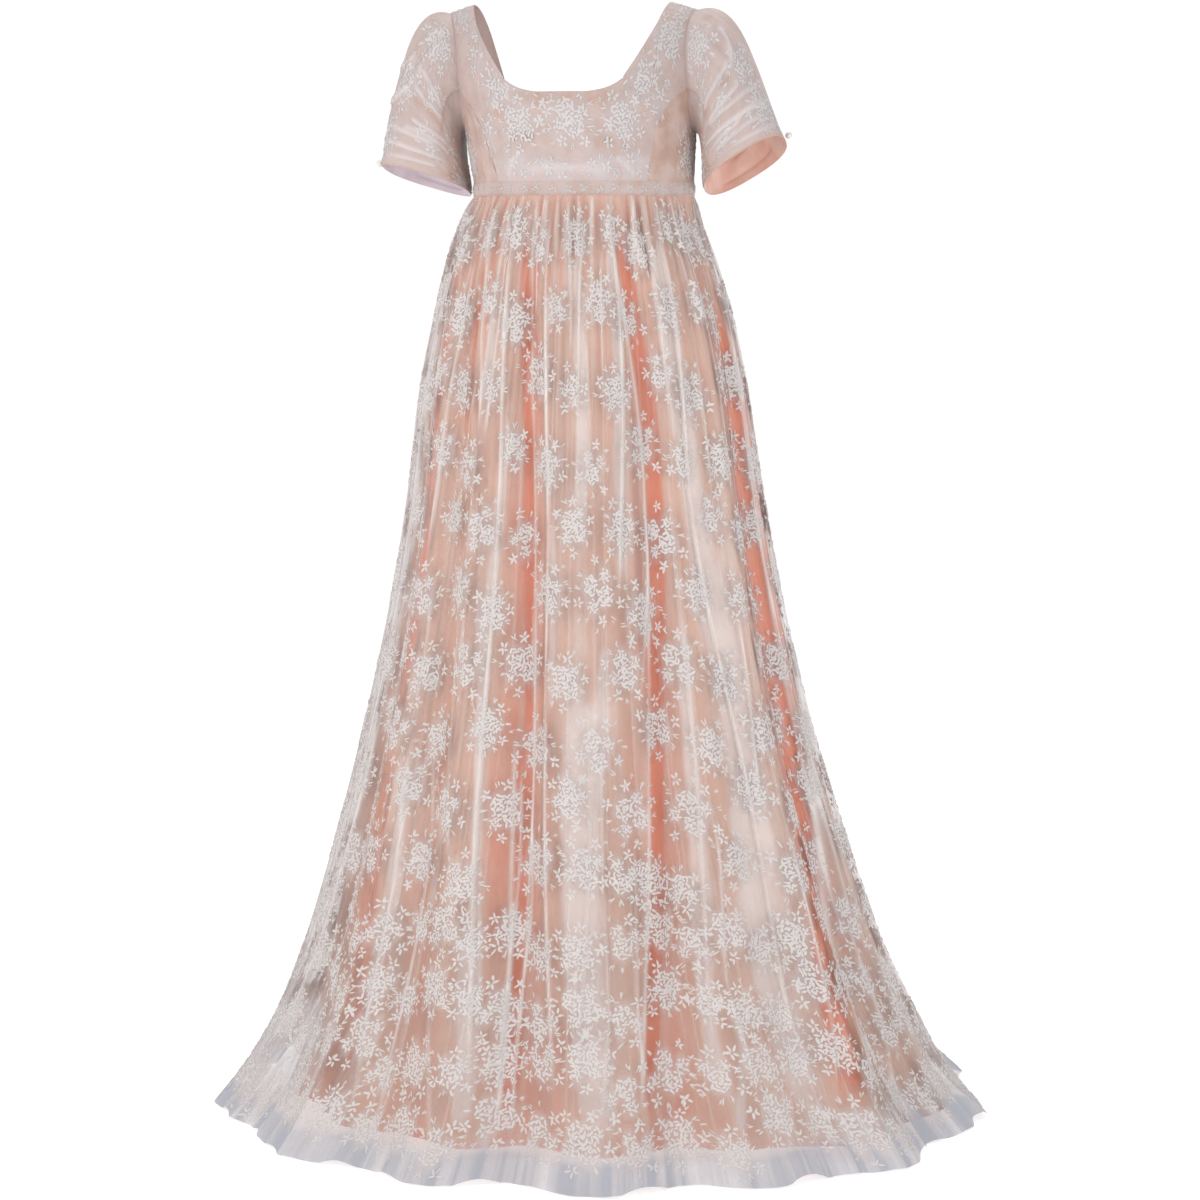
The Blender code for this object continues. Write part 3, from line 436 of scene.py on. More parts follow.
def span(turn, start, rise, end, fall):
    """1 between two turns, easing in after the first and out before the second."""
    return eased((turn - start) / rise) * eased((end - turn) / fall)


def faded(along, steep, least=0.0):
    """1 along a line from 0 to 1, easing off towards both its ends."""
    return eased(steep * np.minimum(along, 1 - along) + least)


def hump(off):
    """1 in the middle, falling away to either side."""
    return np.exp(-(off**2))


def swung(x, y, turn):
    """(x, y) turned about their origin, in radians."""
    cos, sin = np.cos(turn), np.sin(turn)
    return x * cos - y * sin, x * sin + y * cos


def joined(pairs):
    """Two arrays from a list of pairs of arrays."""
    return tuple(np.concatenate(arrays) for arrays in zip(*pairs))


def soft_lift(u, v, creases):
    """How far soft ridges and troughs, drawn as bowed lines on the cut, lift the cloth."""
    total = np.zeros(np.broadcast(u, v).shape)
    for from_u, from_v, to_u, to_v, bow, half_width, rise in creases:
        run_u, run_v = to_u - from_u, to_v - from_v
        length = math.hypot(run_u, run_v)
        along = ((u - from_u) * run_u + (v - from_v) * run_v) / length**2
        bowed = 4 * bow * length * along * (1 - along)
        off = ((v - from_v) * run_u - (u - from_u) * run_v) / length - bowed
        total = total + rise * faded(along, 5, 0.4) * hump(off / half_width)
    return total


def leaned(points):
    """The points moved sideways, more with their depth below the shoulders as far as the band."""
    share = np.clip(points[..., 2] / BAND_TOP, 0.0, 1.0)
    return points + stacked(SIDE_LEAN * share, 0.0 * share, 0.0 * share)


# ---- the bodice ----


def body_point(turn, height):
    """Points of the body's form, which rounds over at the shoulder."""
    half = BODY.at("half_width", height)
    side, ahead = np.sin(np.radians(turn)), np.cos(np.radians(turn))
    front = BODY.at("front", height)
    back = BODY.at("back", height)
    neck, outer = STRAPS["front_neck_x"][-1], STRAPS["armhole_x"][-1]
    crest = -SHOULDER_DROP * np.clip((half * np.abs(side) - neck) / (outer - neck), 0.0, 1.0)
    over = np.clip((height - crest + SHOULDER_ROUNDING) / SHOULDER_ROUNDING, 0.0, 1.0)
    depth = np.where(ahead > 0, front, back) * np.sqrt(1.0 - over * over)
    return leaned(stacked(half * side, -depth * ahead, height))


def turn_of(x, height):
    half = BODY.at("half_width", height)
    return np.degrees(np.arcsin(np.clip(x / half, -1.0, 1.0)))


def strap_place(climb, across, back):
    """(turn, height) on the strap: climb 0 to 1 up to the shoulder seam, across 0 at the neck."""
    neck, armhole = strap_edges(climb, back)
    x = neck + (armhole - neck) * across
    height = strap_height(climb, across)
    return turn_of(x, height), height


def strap_height(climb, across):
    return -SHOULDER_DROP * across - SHOULDER_ROUNDING * (1.0 - np.sin(climb * math.pi / 2))


def strap_edges(climb, back):
    """How far out the strap's neck edge and armhole edge are."""
    neck = "back_neck_x" if back else "front_neck_x"
    return tuple(STRAPS.at(name, climb) for name in (neck, "armhole_x"))


def strap_point(climb, across, back, side=1.0):
    turn, height = strap_place(climb, across, back)
    half = BODY.at("half_width", height)
    depth = BODY.at("back" if back else "front", height)
    reach = depth * np.cos(np.radians(turn)) * np.cos(climb * math.pi / 2)
    return leaned(stacked(side * half * np.sin(np.radians(turn)), reach if back else -reach, height))


def seam_place(table, along):
    return stacked(table.at("turn", along), table.at("height", along))


def neck_place(across, back):
    name = "back" if back else "front"
    x = NECK.at(name + "_x", across)
    height = NECK.at(name + "_height", across)
    return stacked(turn_of(x, height), height)


def coons(bottom, top, left, right):
    """Rows of (turn, height) filling in four edges given as lists of places."""
    u = np.linspace(0.0, 1.0, len(bottom))[None, :, None]
    v = np.linspace(0.0, 1.0, len(left))[:, None, None]
    return (
        (1 - v) * bottom[None] + v * top[None] + (1 - u) * left[:, None] + u * right[:, None]
        - (1 - u) * (1 - v) * bottom[0] - u * (1 - v) * bottom[-1]
        - (1 - u) * v * top[0] - u * v * top[-1]
    )


NECK_STEPS = 36
STRAP_ACROSS = 14
STRAP_CLIMB = 36
PANEL_STEPS = 44
SIDE_STEPS = 26
STRAP_ARC = 0.13
STRAP_FOOT = -0.1


def steps(count):
    return np.linspace(0.0, 1.0, count + 1)


def grid_faces(rows, columns):
    """Quads of a grid of rows by columns points, numbered row by row."""
    corner = (np.arange(rows - 1)[:, None] * columns + np.arange(columns - 1)[None]).ravel()
    return np.stack([corner, corner + 1, corner + columns + 1, corner + columns], 1)


class Cloth:
    """Points of a panel with their places on the flat cut, and the faces between them."""

    def __init__(self):
        self.points, self.cut, self.faces, self.count = [], [], [], 0

    def add_grid(self, points, cut, turned=False):
        rows, columns = points.shape[:2]
        faces = grid_faces(rows, columns) + self.count
        self.faces.append(faces[:, ::-1] if turned else faces)
        self.points.append(points.reshape(-1, 3))
        self.cut.append(cut.reshape(-1, 2))
        self.count += rows * columns

    def gathered(self):
        """(points, cut, faces) with points at the same place made one."""
        points, cut = np.concatenate(self.points), np.concatenate(self.cut)
        faces = np.concatenate(self.faces)
        keys = np.round(np.concatenate([points, cut], 1) * STEPS_TO_KEY).astype(np.int64)
        _, first, index = np.unique(keys, axis=0, return_index=True, return_inverse=True)
        return points[first], cut[first], index.reshape(-1)[faces]


def bodice_turn(u):
    return np.degrees(u / BODICE_AROUND)


def bodice_cut(turn, height):
    return stacked(np.radians(turn) * BODICE_AROUND, height)


def strap_cut(turn, climb, across):
    foot = STRAP_FOOT - SHOULDER_DROP * across
    return stacked(np.radians(turn) * BODICE_AROUND, foot + climb * STRAP_ARC)


def strap_place_of(u, v, back):
    """(climb, across) of a place on the bodice's cut, with climb below 0 under the strap."""
    quarter = np.abs(bodice_turn(u))
    quarter = 180.0 - quarter if back else quarter
    across = np.full(np.shape(u), 0.5)
    for _ in range(4):
        climb = (v - STRAP_FOOT + SHOULDER_DROP * across) / STRAP_ARC
        rise = np.clip(climb, 0.0, 1.0)
        half = BODY.at("half_width", strap_height(rise, across))
        neck, armhole = strap_edges(rise, back)
        across = (half * np.sin(np.radians(quarter)) - neck) / (armhole - neck)
        across = np.clip(across, -1.0, 2.0)
    return climb, across


def bodice_surface(u, v):
    """Points of the bodice for places of its cut, its main part or its straps."""
    points = body_point(bodice_turn(u), v)
    for back in (False, True):
        climb, across = strap_place_of(u, v, back)
        strap = strap_point(np.clip(climb, 0.0, 1.0), across, back, np.sign(u))
        here = (climb > 0.0) & ((np.abs(u) > BODICE_AROUND * math.pi / 2) == back)
        points = np.where(here[..., None], strap, points)
    return points


def half_top(back):
    """The upper edge of the main part of a front or back, from the middle to the armhole."""
    places = neck_place(steps(NECK_STEPS), back)
    strap = stacked(*strap_place(0.0, steps(STRAP_ACROSS)[1:], back))
    return np.concatenate([places, strap])


def mirrored(places):
    return places * np.array([-1.0, 1.0])


def add_strap(cloth, back, side):
    climb, across = np.meshgrid(steps(STRAP_CLIMB), steps(STRAP_ACROSS), indexing="ij")
    turn = strap_place(climb, across, back)[0]
    turn = 180.0 - turn if back else turn
    cut = strap_cut(side * turn, climb, across)
    cloth.add_grid(strap_point(climb, across, back, side), cut, (side < 0) != back)


def panel_grid(cloth, places, turned=False):
    turn, height = places[..., 0], places[..., 1]
    cloth.add_grid(body_point(turn, height), bodice_cut(turn, height), turned)


def front_panel():
    top = half_top(False)
    top = np.concatenate([mirrored(top[::-1]), top[1:]])
    right = seam_place(PRINCESS_SEAM, steps(PANEL_STEPS))
    reach = right[0][0]
    bottom = stacked(reach * np.linspace(-1.0, 1.0, len(top)), BAND_TOP)
    cloth = Cloth()
    panel_grid(cloth, coons(bottom, top, mirrored(right), right))
    for side in (1, -1):
        add_strap(cloth, False, side)
    return cloth


def side_front_panel(side):
    seam = seam_place(PRINCESS_SEAM, steps(PANEL_STEPS))
    top = seam_place(UNDERARM_EDGE, steps(SIDE_STEPS))
    bottom = stacked(seam[0][0] + (90.0 - seam[0][0]) * steps(SIDE_STEPS), BAND_TOP)
    edge = stacked(90.0, BAND_TOP + (top[-1][1] - BAND_TOP) * steps(PANEL_STEPS))
    cloth = Cloth()
    panel_grid(cloth, coons(bottom, top, seam, edge) * np.array([side, 1.0]), side < 0)
    return cloth


def back_panel(side):
    """From the side seam round to the middle of the back, with its strap."""
    under = seam_place(UNDERARM_EDGE, steps(SIDE_STEPS))[::-1]
    half = half_top(True)[::-1]
    top = np.concatenate([under, half[1:]])
    top = stacked(180.0 - top[:, 0], top[:, 1])
    bottom = stacked(90.0 + 90.0 * steps(len(top) - 1), BAND_TOP)
    left = stacked(90.0, BAND_TOP + (top[0][1] - BAND_TOP) * steps(PANEL_STEPS))
    right = stacked(180.0, BAND_TOP + (top[-1][1] - BAND_TOP) * steps(PANEL_STEPS))
    cloth = Cloth()
    panel_grid(cloth, coons(bottom, top, left, right) * np.array([side, 1.0]), side < 0)
    add_strap(cloth, True, side)
    return cloth


# ---- the sleeves ----


def armhole_edge(back):
    """The armhole's front or back edge on the +X side, from the shoulder seam to the underarm."""
    strap = strap_point(steps(STRAP_CLIMB)[::-1], 1.0, back)
    place = seam_place(UNDERARM_EDGE, steps(SIDE_STEPS)[1:])
    turn = 180.0 - place[:, 0] if back else place[:, 0]
    edge = np.concatenate([strap, body_point(turn, place[:, 1])])
    lean = SIDE_LEAN * np.clip(edge[:, 2:] / BAND_TOP, 0.0, 1.0)
    return edge - lean * [1, 0, 0]


def along_edge(edge, share):
    """The points these shares of the way along a line of points."""
    lengths = np.concatenate([[0.0], np.cumsum(np.linalg.norm(np.diff(edge, axis=0), axis=1))])
    return stacked(*(np.interp(share * lengths[-1], lengths, edge[:, k]) for k in range(3)))


ARMHOLES = (armhole_edge(False), armhole_edge(True))


def sleeve_form(row, p, v):
    """Points of a sleeve: p runs round it from the outer side by the front, v from head to hem."""
    _, outer_x, outer_z, inner_x, inner_z, half_depth, tilt, middle_y = row
    front, back = ARMHOLES
    p = np.mod(p, 1.0)
    head = np.where(
        (p <= 0.5)[..., None], along_edge(front, 2 * p), along_edge(back, 2 * (1 - p))
    ) + np.array([SLEEVE_HEAD_GAP, 0.0, 0.0])
    turn = 2 * math.pi * p
    middle = np.array([(abs(outer_x) + abs(inner_x)) / 2, middle_y, (outer_z + inner_z) / 2])
    long_axis = np.array([(abs(outer_x) - abs(inner_x)) / 2, 0.0, (outer_z - inner_z) / 2])
    deep_axis = np.array([0.0, -half_depth, tilt])
    ahead, across = np.cos(turn), np.sin(turn)
    along = np.copysign(np.abs(ahead) ** SLEEVE_SQUARENESS, ahead)[..., None]
    deep = np.copysign(np.abs(across) ** SLEEVE_SQUARENESS, across)[..., None]
    hem = middle + long_axis * along + deep_axis * deep
    down = unit(np.array([long_axis[2], 0.0, -long_axis[0]]))
    radial = stacked(0.0 * turn, -across, ahead)
    out = unit(stacked(1.0, SLEEVE_SPREAD[0] * radial[..., 1], SLEEVE_SPREAD[1] * radial[..., 2]))
    puff = (SLEEVE_PUFF * (1 - PUFF_OUTSIDE + PUFF_OUTSIDE * ahead))[..., None]
    fall = (SLEEVE_FALL * (1 - FALL_OUTSIDE + FALL_OUTSIDE * ahead))[..., None]
    leave = head + out * puff
    arrive = hem - down * fall + radial * SLEEVE_FLARE
    w = v[..., None]
    point = (1 - w) ** 3 * head + 3 * w * (1 - w) ** 2 * leave + 3 * w * w * (1 - w) * arrive + w**3 * hem
    near = np.minimum(p, 1.0 - p)
    window = np.where(near < CAP_REACH, np.cos(math.pi / 2 * np.clip(near / CAP_REACH, 0, 1)), 0.0) ** 0.5
    fade = np.sin(math.pi * np.clip(v / CAP_FALL, 0.0, 1.0))
    wave = np.cos(2 * math.pi * near / CAP_REACH * CAP_GATHERS / 2)
    lift = (CAP_GATHER_DEPTH * window * fade * wave)[..., None]
    return point + unit(stacked(0.5, radial[..., 1], radial[..., 2])) * lift


def sleeve_surface(row):
    """The sleeve's place for its cut: u metres round it from the outer side, v metres down it."""
    sign = 1.0 if row[0] == "right" else -1.0

    def place(u, v):
        p, down = u / SLEEVE_AROUND, v / SLEEVE_LONG
        points = sleeve_form(row, p, down)
        lift = soft_lift(np.where(p > 0.5, u - SLEEVE_AROUND, u), v, SLEEVE_CREASES[row[0]])
        middle = ARMHOLES[0][0] * [0.7, 0.0, 1.0] + [0.035, 0.0, -0.1]
        points = points + unit(points - middle) * lift[..., None]
        return leaned(points * [sign, 1.0, 1.0])

    return place


# ---- the skirt ----


def between(turn):
    """The angle brought between -180 and 180."""
    return np.mod(turn + 180.0, 360.0) - 180.0


def fold_lift(turn, height, lining=False):
    """How far the main folds move the cloth out; the satin lies softer in them than the net."""
    total = 0.0 * turn * height
    for top, knee, hem, width, depth in FOLDS:
        hem = knee + between(hem - knee)
        path = smooth([-0.28, -0.75, -1.42], [top, knee, hem], height)
        if lining:
            width, depth = width + 1.5, (depth if depth < 0 else 0.75 * depth)
        total = total + depth * hump(between(turn - path) / width)
    return SKIRT.at("fold_share", height) * total


def ring_shares(turn, height):
    """(side, ahead) of a place's turn, and how far its ring reaches (sideways, and to front or back)."""
    side, ahead = np.sin(np.radians(turn)), np.cos(np.radians(turn))
    wide = np.where(side > 0, SKIRT.at("right", height), SKIRT.at("left", height))
    return side, ahead, wide, np.where(ahead > 0, SKIRT.at("front", height), SKIRT.at("back", height))


def metres_per_degree(turn, height):
    """How far a degree of turn reaches round the skirt's ring."""
    side, ahead, wide, deep = ring_shares(turn, height)
    return np.hypot(wide * ahead, deep * side) * math.pi / 180


def gather_lift(turn, height):
    """The gathers below the band, uneven in depth and place, each running down for its own length."""
    turn = turn + 1.1 * np.sin(np.radians(7.0 * turn + 20.0)) + 0.7 * np.sin(np.radians(13.0 * turn))
    number = np.floor(np.mod(turn, 360.0) * GATHERS / 360.0 + 0.5)
    length = 0.6 + 1.5 * np.mod(number * 0.618034, 1.0)
    share = 0.55 + 0.75 * np.mod(number * 0.754878, 1.0)
    stretched = BAND_BOTTOM + (height - BAND_BOTTOM) / length
    depth = share * GATHER_DEPTHS.at("depth", stretched)
    return depth * np.cos(np.radians(GATHERS * turn))


def path_down(top, bottom, turns, height):
    """The turn, at these heights, of a line through four turns evenly spaced down it."""
    levels = [bottom, bottom + (top - bottom) / 3, bottom + (top - bottom) * 2 / 3, top]
    return smooth(levels, turns[::-1], height)


# A net crease's width, and the place and width of the line of painted shade beside it, in half widths.
CREASE_TIGHT, DARK_BESIDE, DARK_WIDTH = 0.86, 2.1, 0.85


def crease_marks(turn, height):
    """(lift, whiteness, shade) of the net's narrow creases: whiteness is the doubled net with a painted highlight,
    shade is painted shade in troughs and in a thin line beside each light crease.
    """
    lift, white, shade = (0.0 * turn * height for _ in range(3))
    metre = metres_per_degree(turn, height)
    for number, (top, bottom, *turns, half_width, rise, whiter) in enumerate(NET_CREASES):
        ends = faded((top - height) / (top - bottom), 7)
        off = between(turn - path_down(top, bottom, turns, height)) * metre / (CREASE_TIGHT * half_width)
        mark = ends * hump(off)
        lift = lift + rise * mark
        if whiter < 0:
            shade = shade - whiter * mark
            continue
        white = white + whiter * mark
        beside = DARK_BESIDE * (1 - 2 * (number % 2))
        shade = shade + 0.7 * whiter * ends * hump((off - beside) / DARK_WIDTH)
    return lift, np.clip(white, 0.0, 1.0), shade


def layer_gap(turn, height):
    """How far the satin hangs inside the net: they meet in the band, and nearly so at the right side."""
    met = eased((BAND_BOTTOM - height) / 0.008)
    right = span(turn, 35, 25, 125, 30) * eased((-0.35 - height) / 0.2)
    return met * (1 - 0.7 * right) * (SKIRT.at("lining_gap", height) + 0.0008) + 0.0004


def strip_paths(turn, height, behind=False):
    """Each satin strip's (how far off its middle in half widths, fading at its ends, tone); with
    behind, on the satin, where it lies further round to show through the same place of the net."""
    metre = metres_per_degree(turn, height)
    for top, bottom, *turns, half_width, strength in SATIN_STRIPS:
        path = path_down(top, bottom, turns, height)
        if behind:
            inset = np.degrees(layer_gap(path, height) / SKIRT.at("right", height))
            path = path + inset * np.clip(np.tan(np.radians(path - CAMERA_TURN)), -2.3, 2.3)
        ends = faded((top - height) / (top - bottom), 7, 0.1)
        yield between(turn - path) * metre / half_width, ends, strength


def painted_strip_light(turn, height, behind=False):
    """How much painted shade of deeper salmon (above 0) or painted highlight (below 0) the satin gets."""
    tone = 0.0 * turn * height
    for off, ends, strength in strip_paths(turn, height, behind):
        tone = tone + strength * ends * np.exp(-np.abs(off) ** (4 if strength > 0 else 2.4))
    return tone


def strip_edges(turn, height):
    """(light, dark) lines where the net's pleats end beside the deeper strips of satin: the light ones doubled net with
    a painted highlight, the dark ones painted shade.
    """
    light, dark = 0.0 * turn * height, 0.0 * turn * height
    for number, (off, ends, strength) in enumerate(strip_paths(turn, height)):
        if strength > 0.7:
            side = 1 - 2 * (number % 2)
            light = light + 0.75 * ends * hump((off * side - 1.35) / 0.28)
            dark = dark + 0.4 * ends * hump((off * side + 1.15) / 0.3)
    return light, dark


def skirt_point(turn, height, lift, gap=0.0):
    """Points of the skirt's rings moved out by lift, or in by gap, level with the floor."""
    side, ahead, wide, deep = ring_shares(turn, height)
    out = unit(stacked(deep * side, -wide * ahead, 0.0))
    points = stacked(wide * side, -deep * ahead, height)
    return leaned(points + out * np.asarray(lift - gap)[..., None])


def ripple_lift(turn, height, counts, depth):
    """Small uneven waves that run down from the gathers, drifting sideways as they go."""
    down = BAND_BOTTOM - height
    total = 0.0 * turn * height
    for number, count in enumerate(counts):
        drift = 9.0 * np.sin(2.1 * down + 1.9 * number) / count
        swell = 0.55 + 0.45 * np.sin(np.radians((3 + 2 * number) * turn) + 2.2 * number + 3.0 * down)
        total = total + swell * np.cos(np.radians(count * turn) + 6.0 * drift + number)
    return depth * eased(down / 0.22) * total


def hem_lift(turn, height):
    """(out, up) of the net's hem, which ripples and here and there turns up a little."""
    share = eased((-1.385 - height) / 0.05)
    waves = np.sin(np.radians(37 * turn)) * np.sin(np.radians(5 * turn + 40)) + 0.6 * np.sin(np.radians(61 * turn + 30))
    rise = np.clip(np.sin(np.radians(23 * turn + 70)) * np.sin(np.radians(7 * turn)) - 0.2, 0.0, 1.0)
    return share * 0.003 * waves, share * (0.012 * rise + 0.0015 + 0.0015 * waves)


def net_surface(turn, height):
    out, up = hem_lift(turn, height)
    lift = fold_lift(turn, height) + gather_lift(turn, height) + crease_marks(turn, height)[0]
    lift = lift + ripple_lift(turn, height, NET_RIPPLES, 0.0011) + out
    return skirt_point(turn, height, lift) + stacked(0.0, 0.0, up)


def satin_surface(turn, height):
    lift = fold_lift(turn, height, True) + 0.6 * gather_lift(turn, height)
    lift = lift + ripple_lift(turn, height, SATIN_RIPPLES, 0.0016)
    return skirt_point(turn, height, lift, layer_gap(turn, height))


# ---- from points to pieces ----


def add_mesh(name, points, faces, finishes, cut=None, kinds=None, marks=None):
    """A mesh piece from arrays; faces all have as many corners, kinds give each its finish."""
    mesh = bpy.data.meshes.new(name)
    corners = faces.shape[1]
    mesh.vertices.add(len(points))
    mesh.vertices.foreach_set("co", np.asarray(points, np.float32).ravel())
    mesh.loops.add(faces.size)
    mesh.loops.foreach_set("vertex_index", faces.astype(np.int32).ravel())
    mesh.polygons.add(len(faces))
    mesh.polygons.foreach_set("loop_start", np.arange(0, faces.size, corners, dtype=np.int32))
    mesh.polygons.foreach_set("use_smooth", np.full(len(faces), True))
    for finish in finishes:
        mesh.materials.append(finish)
    if kinds is not None:
        mesh.polygons.foreach_set("material_index", kinds.astype(np.int32))
    mesh.update(calc_edges=True)
    if cut is not None:
        layer = mesh.uv_layers.new(name="cut")
        layer.uv.foreach_set("vector", cut[faces.ravel()].astype(np.float32).ravel())
    for label, values in (marks or {}).items():
        mesh.attributes.new(label, "FLOAT", "POINT").data.foreach_set("value", values.astype(np.float32))
    piece = bpy.data.objects.new(name, mesh)
    bpy.context.scene.collection.objects.link(piece)
    return piece


def normals_of(points, faces):
    """A normal at each point from the faces round it, shared by points at the same place."""
    around = points[faces]
    across = np.cross(around[:, 2] - around[:, 0], around[:, 3] - around[:, 1])
    _, index = np.unique(np.round(points * STEPS_TO_KEY).astype(np.int64), axis=0, return_inverse=True)
    index = index.reshape(-1)
    sums = np.zeros((index.max() + 1, 3))
    for corner in range(4):
        np.add.at(sums, index[faces[:, corner]], across)
    return unit(sums)[index]


def open_edges(faces):
    """The edges that only one face has, each as that face runs it."""
    ends = np.concatenate([faces[:, [k, (k + 1) % 4]] for k in range(4)])
    keys = np.sort(ends, axis=1)
    _, index, count = np.unique(keys, axis=0, return_inverse=True, return_counts=True)
    return ends[count[index.reshape(-1)] == 1]


def add_shell(name, slot, points, cut, faces, normals, inside, marks):
    """A thin shell of cloth for the node of its name: the outer side as given, an inner side with
    the finish inside, and the edge between."""
    count = len(points)
    inner = points - normals * CLOTH
    edges = open_edges(faces)
    ids = np.unique(edges)
    start = np.searchsorted(ids, edges) + 2 * count
    rim = np.stack([start[:, 1], start[:, 0], start[:, 0] + len(ids), start[:, 1] + len(ids)], 1)
    every = np.concatenate([faces, faces[:, ::-1] + count, rim])
    kinds = np.concatenate([np.zeros(len(faces)), np.ones(len(faces)), np.zeros(len(rim))])
    four = {label: np.concatenate([v, v, v[ids], v[ids]]) for label, v in marks.items()}
    piece = add_mesh(
        name, np.concatenate([points, inner, points[ids], inner[ids]]), every, [OUTSIDE, inside],
        np.concatenate([cut, cut, cut[ids], cut[ids]]), kinds, four,
    )
    return seated(piece, slot, name)


# ---- finishes ----


class Value:
    """A number socket of a finish, in sums."""

    def __init__(self, finish, socket):
        self.finish, self.socket = finish, socket

    def math(self, operation, *others):
        sockets = {k: other for k, other in enumerate((self, *others))}
        return self.finish.node("Math", {"operation": operation}, sockets)

    def __add__(self, other):
        return self.math("ADD", other)

    def __mul__(self, other):
        return self.math("MULTIPLY", other)

    def __sub__(self, other):
        return self.math("SUBTRACT", other)

    def __rsub__(self, other):
        return self.finish.node("Math", {"operation": "SUBTRACT"}, {0: other, 1: self})

    __radd__ = __add__

    def clamped(self, low=0.0, high=1.0):
        return self.math("MAXIMUM", low).math("MINIMUM", high)

    def ranged(self, low, high):
        """0 where the value is low or less, 1 where it is high or more."""
        settings = {"clamp": True, "interpolation_type": "SMOOTHSTEP"}
        return self.finish.node("MapRange", settings, {0: self, 1: low, 2: high, 3: 0.0, 4: 1.0})


class Finish:
    """A material being made, and the one way its nodes are added."""

    def __init__(self, name, **constants):
        self.material = bpy.data.materials.new(name)
        self.material.use_nodes = True
        self.tree = self.material.node_tree
        self.shader = self.tree.nodes["Principled BSDF"]
        for key, value in constants.items():
            self.shader.inputs[key.replace("_", " ")].default_value = value

    def node(self, kind, settings=None, sockets=None, output=0):
        made = self.tree.nodes.new("ShaderNode" + kind)
        for key, value in (settings or {}).items():
            setattr(made, key, value)
        for key, value in (sockets or {}).items():
            self.feed(made.inputs[key], value)
        return Value(self, made.outputs[output])

    def feed(self, socket, value):
        if isinstance(value, Value):
            self.tree.links.new(value.socket, socket)
        elif isinstance(value, tuple) and len(value) == 3 and socket.type == "RGBA":
            socket.default_value = (*value, 1.0)
        else:
            socket.default_value = value

    def mix(self, share, first, second):
        return self.node("Mix", {"data_type": "RGBA"}, {0: share, 6: first, 7: second}, 2)

    def place(self):
        """The place on the flat cut, in metres."""
        return self.node("UVMap", {"uv_map": "cut"})

    def mark(self, label):
        return self.node("Attribute", {"attribute_name": label}, None, 2)

    def scaled(self, place, x, y):
        return self.node("VectorMath", {"operation": "MULTIPLY"}, {0: place, 1: (x, y, 1.0)})

    def noise(self, place, scale, detail=2.0, roughness=0.5):
        sockets = {"Vector": place, "Scale": scale, "Detail": detail, "Roughness": roughness}
        return self.node("TexNoise", {"noise_dimensions": "2D"}, sockets)

    def waves(self, place, scale, direction, bend=0.0):
        settings = {"wave_type": "BANDS", "bands_direction": direction}
        sockets = {"Vector": place, "Scale": scale, "Distortion": bend, "Detail": 1.0}
        return self.node("TexWave", settings, sockets, 1)

    def net(self, place, cell):
        """1 along the threads of a fine net and 0 in its holes."""
        settings = {"voronoi_dimensions": "2D", "feature": "DISTANCE_TO_EDGE"}
        edge = self.node("TexVoronoi", settings, {"Vector": place, "Scale": 1.0 / cell, "Randomness": 0.35})
        return 1.0 - edge.ranged(0.06, 0.17)

    def bump(self, height, strength, distance):
        return self.node("Bump", None, {"Strength": strength, "Distance": distance, "Height": height})

    def finished(self, **links):
        for key, value in links.items():
            self.feed(self.shader.inputs[key.replace("_", " ")], value)
        return self.material


# Painted shade: the deeper salmon of the satin in its folds.
SALMON_FOLD_SHADE = (0.82, 0.275, 0.17)
SALMON = (0.8, 0.48, 0.355)
# Painted highlight: the pale colour of the satin where it catches the light.
SATIN_HIGHLIGHT = (0.92, 0.78, 0.73)
NET_GREY = (0.53, 0.455, 0.44)
# Painted shade: the net's colour in crease troughs, gather valleys and the dark lines beside creases and strips.
NET_SHADE = (0.3, 0.205, 0.175)
NET_SPRAY = (0.6, 0.53, 0.52)
# The whiter net of creases and streaks: doubled net, with a painted highlight.
NET_WHITE = (0.8, 0.745, 0.715)
# Painted shade: the darker bluish grey of net hanging clear of the satin.
HEM_SHADE_GREY = (0.4, 0.412, 0.465)
LACED_SATIN, LACED_SHADE = (0.56, 0.415, 0.37), (0.47, 0.305, 0.24)
# The laced satin's pale colour is a painted highlight on ridges; its deep salmon is the deepest painted shade, at the
# armpits, and the colour of the right sleeve's hem edge.
LACED_NET, LACED_HIGHLIGHT, LACED_DEEP = (0.525, 0.46, 0.465), (0.72, 0.635, 0.615), (0.7, 0.37, 0.28)
THREAD = (0.745, 0.7, 0.685)
SOFT_THREAD = (0.655, 0.615, 0.615)


def peach_satin():
    """The glossy lining of the skirt: a deeper salmon of painted shade in its valleys, and a painted highlight where it
    catches light.
    """
    finish = Finish("peach_satin", Sheen_Weight=0.1, Sheen_Roughness=0.4)
    place = finish.place()
    shimmer = finish.noise(finish.scaled(place, 26.0, 1.6), 1.0, 1.5)
    patch = finish.noise(finish.scaled(place, 9.0, 4.0), 1.0, 2.0)
    crush = finish.noise(finish.scaled(place, 46.0, 22.0), 1.0, 4.0, 0.6)
    # The tone mark is painted shade (above 0) and painted highlight (below 0); random patches, shimmer and crush spread
    # it unevenly.
    tone = finish.mark("tone") + (patch - 0.5) * 0.7 + (shimmer - 0.5) * 0.9 + (crush - 0.5) * 0.6
    colour = finish.mix(tone.ranged(0.0, 0.95), SALMON, SALMON_FOLD_SHADE)
    colour = finish.mix((tone * -1.0).ranged(0.0, 0.8), colour, SATIN_HIGHLIGHT)
    weave = finish.waves(place, 900.0, "X") + finish.waves(place, 300.0, "Y")
    crinkle = shimmer + patch * 0.8 + crush * 0.9 + weave * 0.03
    return finish.finished(
        Base_Color=colour,
        Roughness=0.3 + shimmer * 0.14,
        Normal=finish.bump(crinkle, 0.45, 0.006),
    )


